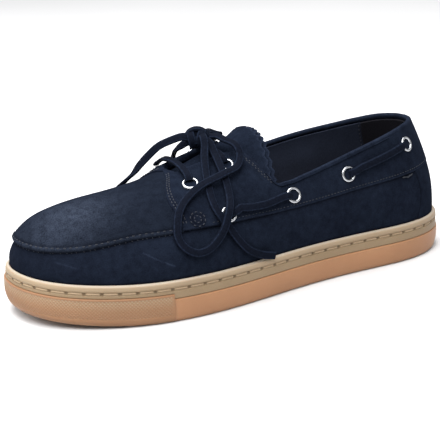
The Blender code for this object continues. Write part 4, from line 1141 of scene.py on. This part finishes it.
def make_saddle(paints):
    """Saddle and collar as one band from the throat round the heel, with a rolled topline."""
    shares = np.concatenate([np.linspace(0, CORNER, 130), np.linspace(CORNER, THROAT, 90)[1:]])
    front = np.linspace(THROAT, SADDLE_EDGE[-1, 1], 12)[1:]
    shares = np.concatenate([shares, front])
    around = both_sides(shares)
    place = rows_up(around, -0.01, SADDLE_FINE, 30)
    top_gap = np.array((2.5, 1.8, 1.3, 0.9, 0.55, 0.3, 0.12, 0)) / 1000
    close = 1 - top_gap[None] / cover_length(around)[:, None]
    place = np.concatenate([place[:, :-2], close], axis=1)
    stretch = ease(np.abs(around), 0.60, SADDLE_EDGE[-1, 1])[:, None] * np.sign(around)[:, None]
    reach = smooth(SADDLE_EDGE[:, 0], SADDLE_EDGE[:, 1], np.clip(place, 0, 1)) - SADDLE_EDGE[-1, 1]
    shared = np.abs(around) >= THROAT - 1e-9
    grid = Grid(around[:, None] + stretch * reach, place, shared=shared)
    low = grid.along(1)
    high = low[:, -1:] - low
    high = np.where(shared[:, None], 1.0, high)
    first = grid.along(0)
    front = np.minimum(first, first[-1:] - first)
    share = np.abs(grid.around)
    step = overlay(share)
    middle = (step - WALL) / 2
    half = (step + WALL) / 2
    crown = rounded(high, 0.0014)
    lower = np.minimum(rounded(low, 0.0008), rounded(front, 0.0008))
    body = 0.0002 + (step - 0.0002) * lower
    near_top = 1 - ease(high, 0.004, 0.007)
    outside = np.where(high < 0.0014, middle + half * crown, body)
    outside = np.where(front < 0.004, np.maximum(PLUG_STEP, 0) + (step - PLUG_STEP) * lower, outside)
    inside = -0.0002 - (WALL - 0.0002) * near_top
    inside = np.where(high < 0.0014, middle - half * crown, inside)
    inside = np.where(share > THROAT - 0.004, PLUG_STEP - 0.0003, inside)
    inside = np.minimum(inside, outside)
    outside = outside - 0.0002 * bump(low, 0.0017, 0.0004) * (share < CORNER)
    # Lighter in a thin line along the top of the rolled topline, a painted highlight, and lighter along the
    # lower edge
    wear_and_highlight = 0.22 * bump(high, 0.0008, 0.0012) + 0.12 * bump(low, 0.0007, 0.0006)
    shade = 0.6 * (1 - ease(low, 0, 0.0003)) + 0.6 * (1 - ease(front, 0, 0.0003))
    sheet("upper_saddle", grid, outside, inside, paints["suede"], "navy suede",
          {"wear_and_highlight": wear_and_highlight, "shade": np.clip(shade, 0, 1)}, 50)
    make_saddle_seams(paints)


def seam_line(around, place, lift):
    """A line over the overlay, with the normals along it."""
    around, place = np.broadcast_arrays(np.asarray(around, float), np.asarray(place, float))
    return over_last(around, place, overlay(np.abs(around)) + lift)


def over_last(around, place, lift):
    """Points at a height over the last, and the normals there."""
    reach = 0.004
    ahead = last_point(around + reach, place)
    behind = last_point(around - reach, place)
    above = last_point(around, np.minimum(place + 0.04, 1))
    below = last_point(around, place - 0.04)
    normals = unit(np.cross(above - below, ahead - behind))
    return last_point(around, place) + normals * np.asarray(lift)[..., None], normals


FLAP_EDGE = ((0.512, 0.93), (0.505, 0.90), (0.499, 0.80), (0.490, 0.76), (0.478, 0.80), (0.468, 0.88))
BAR_TACKS = (
    ((0.158, -0.02), (0.172, -0.06)), ((0.172, -0.06), (0.190, -0.03)), ((0.168, -0.03), (0.178, -0.08)),
)


def make_saddle_seams(paints):
    """Collar seam, rows at the saddle's front edge and at the flap, and the heel's bar tacks."""
    parts = []
    places = np.linspace(0.06, 0.88, 60)
    for sign in (1, -1):
        for gap in (0.0065, 0.0125):
            shares = smooth(SADDLE_EDGE[:, 0], SADDLE_EDGE[:, 1], places) - gap
            parts.append(stitch_row(*seam_line(sign * shares, places, 0.0), 0.0024, 0.0016, 0.00033))
        edge = through([(share, place, 0) for share, place in FLAP_EDGE], 40)
        for down in (0.0, 0.07):
            line = seam_line(sign * edge[:, 0], edge[:, 1] - down, 0.0)
            parts.append(stitch_row(*line, 0.0024, 0.0012, 0.00034))
        for start, end in BAR_TACKS:
            blend = np.linspace(0, 1, 6)
            line = seam_line(sign * (start[0] + (end[0] - start[0]) * blend),
                             start[1] + (end[1] - start[1]) * blend, -0.0002)
            parts.append(stitch_row(*line, 0.0030, 0.0030, 0.00045))
    shares = np.linspace(-0.60, 0.60, 420)
    length = cover_length(shares)
    parts.append(stitch_row(*seam_line(shares, 0.0017 / length, -0.0002), 0.0024, 0.0015, 0.00030))
    make_piece("upper_stitches", *merged(parts), paints["thread"], "navy suede", None, 60)
    make_patch(paints)


PATCH_PLACE = (0.625, 0.10)
PATCH_RADIUS = 0.0046


def make_patch(paints):
    """Plain round patch on the outer side of the saddle, with two rings of stitches."""
    around, place = (np.array([value]) for value in PATCH_PLACE)
    points, normals = over_last(around, place, overlay(around))
    centre, normal = points[0], normals[0]
    first = unit(np.cross(normal, (0.0, 0.0, 1.0)))
    second = np.cross(normal, first)
    rings = [(0.02, 0.0006), (0.35, 0.0006), (0.62, 0.0006), (0.70, 0.0003), (0.78, 0.0006), (0.92, 0.0005),
             (1.0, 0.0), (1.0, -0.0012), (0.02, -0.0012)]
    steps = 48
    angles = 2 * math.pi * np.arange(steps) / steps
    spokes = first * np.cos(angles)[:, None] + second * np.sin(angles)[:, None]
    points = [centre + spokes * share * PATCH_RADIUS + normal * height for share, height in rings]
    faces = ring_faces(len(rings), steps, True)
    shade = np.repeat([0.1, 0.1, 0.3, 0.9, 0.3, 0.1, 0.6, 0.6, 0.0], steps)
    make_piece("side_patch", np.concatenate(points), faces, paints["suede"], "navy suede",
               {"shade": shade}, 60)
    rows = (("patch_stitches", 0.98, 0.0026, 0.0016), ("patch_ring", 0.45, 0.0020, 0.0012))
    for name, share, pitch, long in rows:
        ring = centre + spokes * share * PATCH_RADIUS + normal * 0.0006
        ring = np.vstack([ring, ring[:1]])
        ups = np.tile(normal, (len(ring), 1))
        seam = stitch_row(ring, ups, pitch, long, 0.0003)
        make_piece(name, *seam, paints["thread"], "navy suede", None, 60)


def make_heel_strip(paints):
    """Back strip over the heel, from the sole to the collar."""
    shares = np.linspace(0, 0.150, 60)
    around = both_sides(shares)
    place = np.linspace(-1.0, 0.02, 40)[None] * np.ones((len(around), 1))
    curve = 0.012 * np.sin(np.pi * np.clip(-place, 0, 1)) * np.abs(around[:, None]) / 0.150
    grid = Grid(around[:, None] - np.sign(around)[:, None] * curve, place)
    first = grid.along(0)
    side = np.minimum(first, first[-1:] - first)
    outside = 0.0001 + 0.0006 * rounded(side, 0.0006)
    shade = 0.75 * (1 - ease(side, 0.0, 0.0008)) + 0.7 * (1 - ease(grid.place, -1.0, -0.93))
    sheet("heel_strip", grid, outside, -0.0004, paints["suede"], "navy suede",
          {"shade": np.clip(shade, 0, 1)}, 50)


def make_lining(paints):
    """Inside of the upper, down to the footbed, with its heel patch seam."""
    shares = np.linspace(0, 1, 230)
    keep = np.concatenate([shares[(shares < FLAP_FRONT) | (shares > THROAT)], [FLAP_FRONT, THROAT]])
    shares = np.unique(keep)
    around = np.concatenate([shares[:-1], -shares[:0:-1]])
    length = cover_length(around)
    top = np.where(np.abs(around) < THROAT - 1e-9, 1 - 0.0034 / length, 1.0)
    up = np.concatenate([np.linspace(-1.9, 0, 24), np.linspace(0, 1, 26)[1:]])[None]
    place = np.where(up > 0, up * top[:, None], up)
    grid = Grid(around[:, None], place, closed=True)
    share = np.abs(grid.around)
    seam = bump(share, 0.152, 0.0022) * (grid.place > -0.9)
    inside = -WALL - 0.0007 - 0.0004 * (share < 0.152) + 0.0004 * seam
    # heel is the heel patch's own darker colour, carried in the shade value; dim is painted shade, darker
    # lower down inside the shoe
    heel = 0.85 * (share < 0.152)
    dim = 0.35 * (1 - ease(grid.place, -0.5, 0.6))
    sheet("upper_lining", grid, -WALL + 0.0003, inside, paints["lining"], "navy lining",
          {"shade": np.clip(heel + dim, 0, 1)}, 50)
    parts = []
    for sign in (1, -1):
        places = np.linspace(-0.6, 0.85, 40)
        points, normals = over_last(np.full(40, sign * 0.155), places, np.full(40, -WALL - 0.0008))
        parts.append(stitch_row(points, -normals, 0.0030, 0.0018, 0.0003))
    make_piece("lining_stitches", *merged(parts), paints["thread"], "navy lining", None, 60)


# Tongue

TONGUE_ACROSS = 241
TONGUE_ROWS = 60
TONGUE_TEETH = 32
TONGUE_TOOTH = 0.0017
TONGUE_LAYERS = (("tongue_upper_layer", 0.0, 0.0010, 0.0030), ("tongue_lower_layer", 0.0012, 0.0022, 0.0))


def make_tongue(paints):
    """Two pinked layers of suede over the instep, under the saddle."""
    for name, depth_top, depth_low, shorter in TONGUE_LAYERS:
        upper, lower = (tongue_sheet(depth, shorter) for depth in (depth_top, depth_low))
        rows, across = upper.shape[:2]
        points = np.concatenate([upper.reshape(-1, 3), lower.reshape(-1, 3)])
        under = rows * across
        faces = []
        for i in range(rows - 1):
            for k in range(across - 1):
                a = i * across + k
                faces.append((a, a + 1, a + 1 + across, a + across))
                faces.append((a + under, a + across + under, a + 1 + across + under, a + 1 + under))
        rim = [(k, k + 1) for k in range(across - 1)]
        rim += [((rows - 1) * across + k, (rows - 1) * across + k + 1) for k in range(across - 1)]
        rim += [(i * across, (i + 1) * across) for i in range(rows - 1)]
        rim += [(i * across + across - 1, (i + 1) * across + across - 1) for i in range(rows - 1)]
        faces += [(a, b, b + under, a + under) for a, b in rim]
        edge = np.zeros((2, rows, across))
        edge[:, :2] = np.array((0.5, 0.25))[:, None]
        make_piece(name, points, faces, paints["suede"], "navy suede",
                                 {"wear_and_highlight": edge.reshape(-1)}, 50)
    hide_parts("tongue")


def tongue_sheet(depth, shorter):
    """Rows of points across the tongue, from its toothed back end to under the vamp."""
    lift = WALL + TONGUE_GAP + depth
    shares = np.linspace(CORNER, THROAT + 0.014, TONGUE_ROWS)
    rows = np.array([tongue_section(share, lift, depth) for share in shares])
    across = np.arange(TONGUE_ACROSS) / (TONGUE_ACROSS - 1)
    tooth = np.abs((across * TONGUE_TEETH) % 1 - 0.5) * 2
    ends = ease(across, 0.02, 0.10) * (1 - ease(across, 0.90, 0.98))
    reach = TONGUE_REACH * np.sin(np.pi * across) + (TONGUE_TOOTH * (tooth - 0.4)) * ends - shorter
    start = rows[0].copy()
    start[:, 0] -= reach
    inside = start + (0.0007, 0, 0)
    second = start + (0.0020, 0, 0)
    keep = rows[np.searchsorted(shares, CORNER + 0.026):]
    return np.concatenate([start[None], inside[None], second[None], keep])


def tongue_section(share, lift, depth):
    """Points across the tongue: up the outer side, over the ridge and down the inner side."""
    places = np.array([0.18, 0.42, 0.66, 0.84, 1.0])
    outer, inner = (
        over_last(np.full(5, sign * share), places, np.full(5, -lift))[0] + CENTRE for sign in (1, -1)
    )
    middle = (outer[-1] + inner[-1]) / 2
    if share < THROAT:
        crown = ridge_point(TONGUE_RIDGE, middle[0])
        crown[2] -= depth
        shoulders = [crown + (end - crown) * (0.5, 0.5, TONGUE_SHOULDER) for end in (outer[-1], inner[-1])]
        line = np.vstack([outer, shoulders[0], crown, shoulders[1], inner[::-1]])
    else:
        line = np.vstack([outer[:-1], middle, inner[:-1][::-1]])
    return through(line, TONGUE_ACROSS) - CENTRE


# Eyelets and laces

def eyelet_place(name, side):
    """Signed share round the edge and share of the way from seam to top of one eyelet."""
    row = next(row for row in EYELETS if row[0] == name)
    return SIGN[side] * row[1], row[2 if side == "outer" else 3]


def eyelet_frame(name, side):
    """Centre on the outer face and outward normal of one eyelet."""
    around, place = eyelet_place(name, side)
    points, normals = over_last(np.array([around]), np.array([place]), overlay(np.array([abs(around)])))
    return points[0], normals[0]


RING_PROFILE = (
    (1.00, 0.05), (0.99, 0.45), (0.95, 0.80), (0.89, 1.02), (0.82, 1.08), (0.75, 0.95), (0.70, 0.60),
    (0.67, 0.05), (0.66, -1.50), (0.64, -2.60), (0.72, -2.60), (0.74, -1.50), (0.76, -0.05),
)


def make_eyelets(paints):
    """Polished rings with a rolled crown and a barrel through the upper."""
    steps = 40
    for side in SIDES:
        for row in EYELETS:
            centre, normal = eyelet_frame(row[0], side)
            first = unit(np.cross(normal, (0.0, 0.0, 1.0)))
            second = np.cross(normal, first)
            points = []
            for step in range(steps):
                angle = 2 * math.pi * step / steps
                out = first * math.cos(angle) + second * math.sin(angle)
                for share, height in RING_PROFILE:
                    points.append(centre + out * share * EYELET_RADIUS + normal * (height * EYELET_LIP + FIT))
            faces = ring_faces(steps, len(RING_PROFILE), True)
            name = f"eyelet_{row[0]}_{side}"
            ring = make_piece(name + "_ring", np.array(points), faces, paints["silver"], "silver eyelet",
                              None, 50)
            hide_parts(name)


def make_strap(name, path, ups, paints, closed=False):
    ring, rim = lace_ring()
    points, faces = sweep(path, ups, ring, closed)
    return make_piece(name, points, faces, paints["lace"], "navy lace leather",
                      {"rim": np.tile(rim, len(path))}, 50)


def place_at_height(around, height):
    """How far up from the seam a column reaches a height."""
    places = np.linspace(-0.5, 1, 121)
    heights = last_point(np.full(121, around), places)[:, 2]
    return float(np.interp(height, heights, places))


LACE_LIFT = EYELET_LIP + FIT + LACE_THICKNESS / 2 + LACE_RISE


def rise_from_eyelet(centre, normal, towards):
    """Points where a lace comes out of an eyelet and bends over its ring."""
    heading = unit(towards - centre)
    heading = unit(heading - normal * (heading @ normal))
    steps = ((-0.0040, 0.0002), (-0.0012, 0.0006), (0.0010, 0.0020), (LACE_LIFT * 0.95, 0.0048))
    return [centre + normal * up + heading * ahead for up, ahead in steps]


def make_side_laces(paints):
    for side in SIDES:
        for first, second, sag in (("side_front", "side_middle", 0.0024), ("side_back", "side_heel", 0.0)):
            ends = [eyelet_frame(name, side) for name in (first, second)]
            (around_a, _), (around_b, _) = (eyelet_place(name, side) for name in (first, second))
            heights = [centre[2] + LACE_LIFT * normal[2] for centre, normal in ends]
            stops, ups = [], []
            for blend in np.linspace(0.16, 0.84, 9):
                around = around_a * (1 - blend) + around_b * blend
                height = heights[0] * (1 - blend) + heights[1] * blend - sag * math.sin(math.pi * blend)
                place = place_at_height(around, height)
                lift = overlay(abs(around)) + LACE_LIFT - 0.0004
                point, normal = over_last(np.array([around]), np.array([place]), np.array([lift]))
                stops.append(point[0])
                ups.append(normal[0])
            start = rise_from_eyelet(*ends[0], stops[1])
            end = rise_from_eyelet(*ends[1], stops[-2])[::-1]
            ups = [ends[0][1]] * 4 + ups + [ends[1][1]] * 4
            points = start + stops + end
            path = through(points, 70)
            spread = through(ups, 70)
            name = f"lace_{first}_{side}"
            strap = make_strap(name + "_strap", path, spread, paints)
            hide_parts(name)


def make_cross_lace(name, crown_share, paints):
    """A lace over the throat, from the outer eyelet of a pair to the inner one."""
    halves = []
    for side in SIDES:
        around, place = eyelet_place(name, side)
        sign = SIGN[side]
        centre, normal = eyelet_frame(name, side)
        stops, ups = [], []
        for blend in (0.45, 0.75, 0.95):
            column = sign * (abs(around) + (crown_share - abs(around)) * blend)
            lift = overlay(abs(column)) + LACE_LIFT
            point, up = over_last(np.array([column]), np.array([place + (1 - place) * blend]),
                                  np.array([lift]))
            stops.append(point[0])
            ups.append(up[0])
        rise = rise_from_eyelet(centre, normal, stops[0])
        halves.append((rise + stops, [normal] * 4 + ups))
    (outer, outer_ups), (inner, inner_ups) = halves
    middle = (outer[-1] + inner[-1]) / 2 + np.array([0, 0, LACE_THICKNESS / 2])
    path = through(outer + [middle] + inner[::-1], 70)
    ups = through(outer_ups + [np.array([0.0, 0.0, 1.0])] + inner_ups[::-1], 70)
    strap = make_strap(f"lace_{name}_strap", path, ups, paints)
    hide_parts(f"lace_{name}")


def skin_samples():
    """Points and normals all over the upper, to lay the free laces flat on it."""
    shares = np.linspace(0.3, 0.9, 90)
    around = np.concatenate([-shares[::-1], shares])
    place = np.linspace(-0.9, 1, 24)
    points, normals = over_last(around[:, None] * np.ones((1, 24)), place[None] * np.ones((180, 1)),
                                np.zeros((180, 24)))
    return points.reshape(-1, 3), normals.reshape(-1, 3)


CAMERAWARDS = np.array((0.44, 0.85, 0.29))


def make_cords(paints):
    """The bow's two loops and two ends, each a flat strap along its route and out of the knot."""
    samples, normals = skin_samples()
    routes = (("near_loop", NEAR_LOOP, True, 0.0), ("near_end", NEAR_END, False, 0.0),
              ("far_loop", FAR_LOOP, True, 2.8), ("far_end", FAR_END, False, 2.6))
    for name, route, looped, twist in routes:
        path = through(route, len(route) * 6)
        start = path[0] + (KNOT_LOOK_CENTRE - path[0]) * np.array((0.6, 0.3))[:, None]
        seen = np.concatenate([start, path])
        if looped:
            finish = path[-1] + (KNOT_LOOK_CENTRE - path[-1]) * np.array((0.3, 0.6))[:, None]
            seen = np.concatenate([seen, finish])
        gaps = np.linalg.norm(seen[:, None] - samples[None], axis=-1)
        nearest = np.argsort(gaps, axis=1)[:, :24]
        free = ease(gaps.min(axis=1), 0.004, 0.010)[:, None]
        ups = unit(normals[nearest].mean(axis=1))
        ups = unit(ups + CAMERAWARDS * twist * free)
        kernel = np.ones(17) / 17
        padded = np.concatenate([ups[:1].repeat(8, axis=0), ups, ups[-1:].repeat(8, axis=0)])
        ups = unit(np.stack([np.convolve(padded[:, k], kernel, "valid") for k in range(3)], axis=-1))
        cord = make_strap(name + "_strap", seen, ups, paints)
        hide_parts(name)


# Wraps of the knot: shift of the centre, its two axes and its two radii
KNOT_WRAPS = (
    ((0.0022, -0.0006, 0.0006), (0.89, -0.46, 0.0), (0.05, 0.1, 1.0), 0.0066, 0.0056),
    ((0.0046, -0.0020, -0.0004), (0.46, 0.89, 0.0), (0.25, -0.1, 1.0), 0.0046, 0.0050),
    ((-0.0002, 0.0010, 0.0000), (0.62, 0.78, 0.0), (-0.2, 0.1, 1.0), 0.0046, 0.0050),
    ((0.0018, -0.0004, -0.0012), (1.0, 0.0, 0.1), (0.0, 1.0, 0.2), 0.0050, 0.0040),
    ((0.0008, -0.0024, 0.0012), (0.46, 0.89, 0.1), (0.1, 0.0, 1.0), 0.0036, 0.0040),
)
KNOT_LOOK_CENTRE = KNOT_CENTRE + (0.0018, -0.0004, 0.0002)


def make_knot(paints):
    """Crossed wraps of lace drawn tight into the bow's knot."""
    for number, (shift, first, second, wide, high) in enumerate(KNOT_WRAPS):
        first = unit(np.array(first))
        second = unit(np.array(second) - first * (np.array(second) @ first))
        path, ups = [], []
        for angle in np.linspace(0, 2 * math.pi, 48, endpoint=False):
            out = first * math.cos(angle) * wide + second * math.sin(angle) * high
            path.append(KNOT_CENTRE + shift + out)
            ups.append(unit(first * math.cos(angle) * high + second * math.sin(angle) * wide))
        make_strap(f"knot_wrap_{number + 1}", np.array(path), np.array(ups), paints, True)
    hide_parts("knot")


# Floor and lights

FLOOR_HALF = 6.0


def make_stage():
    paint = Paint("floor", 0.9)
    cloud = paint.noise(3, 2)
    paint.colour(paint.mix(cloud, (0.56, 0.56, 0.565, 1), (0.58, 0.58, 0.585, 1)))
    mesh = bpy.data.meshes.new("floor")
    corners = ((-1, -1), (1, -1), (1, 1), (-1, 1))
    mesh.from_pydata([(x * FLOOR_HALF, y * FLOOR_HALF, 0) for x, y in corners], [], [(0, 1, 2, 3)])
    mesh.materials.append(paint.material)
    floor = bpy.data.objects.new("floor", mesh)
    bpy.context.scene.collection.objects.link(floor)


LIGHTS = (
    ("key", (0.55, 0.75, 1.5), 1.3, 42.0),
    ("top", (0.1, -0.5, 1.6), 1.6, 40.0),
    ("side", (1.3, -0.2, 0.9), 0.9, 12.0),
)


def make_lights():
    for name, place, size, energy in LIGHTS:
        data = bpy.data.lights.new(name, "AREA")
        data.shape = "DISK"
        data.size = size
        data.energy = energy
        light = bpy.data.objects.new(name, data)
        light.location = place
        light.rotation_euler = (-Vector(place)).to_track_quat("-Z", "Y").to_euler()
        bpy.context.scene.collection.objects.link(light)
    world = bpy.data.worlds.new("studio")
    world.use_nodes = True
    background = world.node_tree.nodes["Background"]
    background.inputs["Color"].default_value = (1.0, 1.0, 1.0, 1)
    background.inputs["Strength"].default_value = 0.6
    bpy.context.scene.world = world
    bpy.context.scene.view_settings.view_transform = "Standard"


def main():
    make_camera()
    paints = make_materials()
    make_cords(paints)
    make_outsole(paints)
    make_sidewall(paints)
    make_footbed(paints)
    make_wall(paints)
    make_plug(paints)
    make_saddle(paints)
    make_heel_strip(paints)
    make_lining(paints)
    make_tongue(paints)
    make_eyelets(paints)
    make_side_laces(paints)
    make_cross_lace("front", LACE_CROSSING, paints)
    make_cross_lace("rear", EYELETS[1][1], paints)
    make_knot(paints)
    make_stage()
    make_lights()


main()
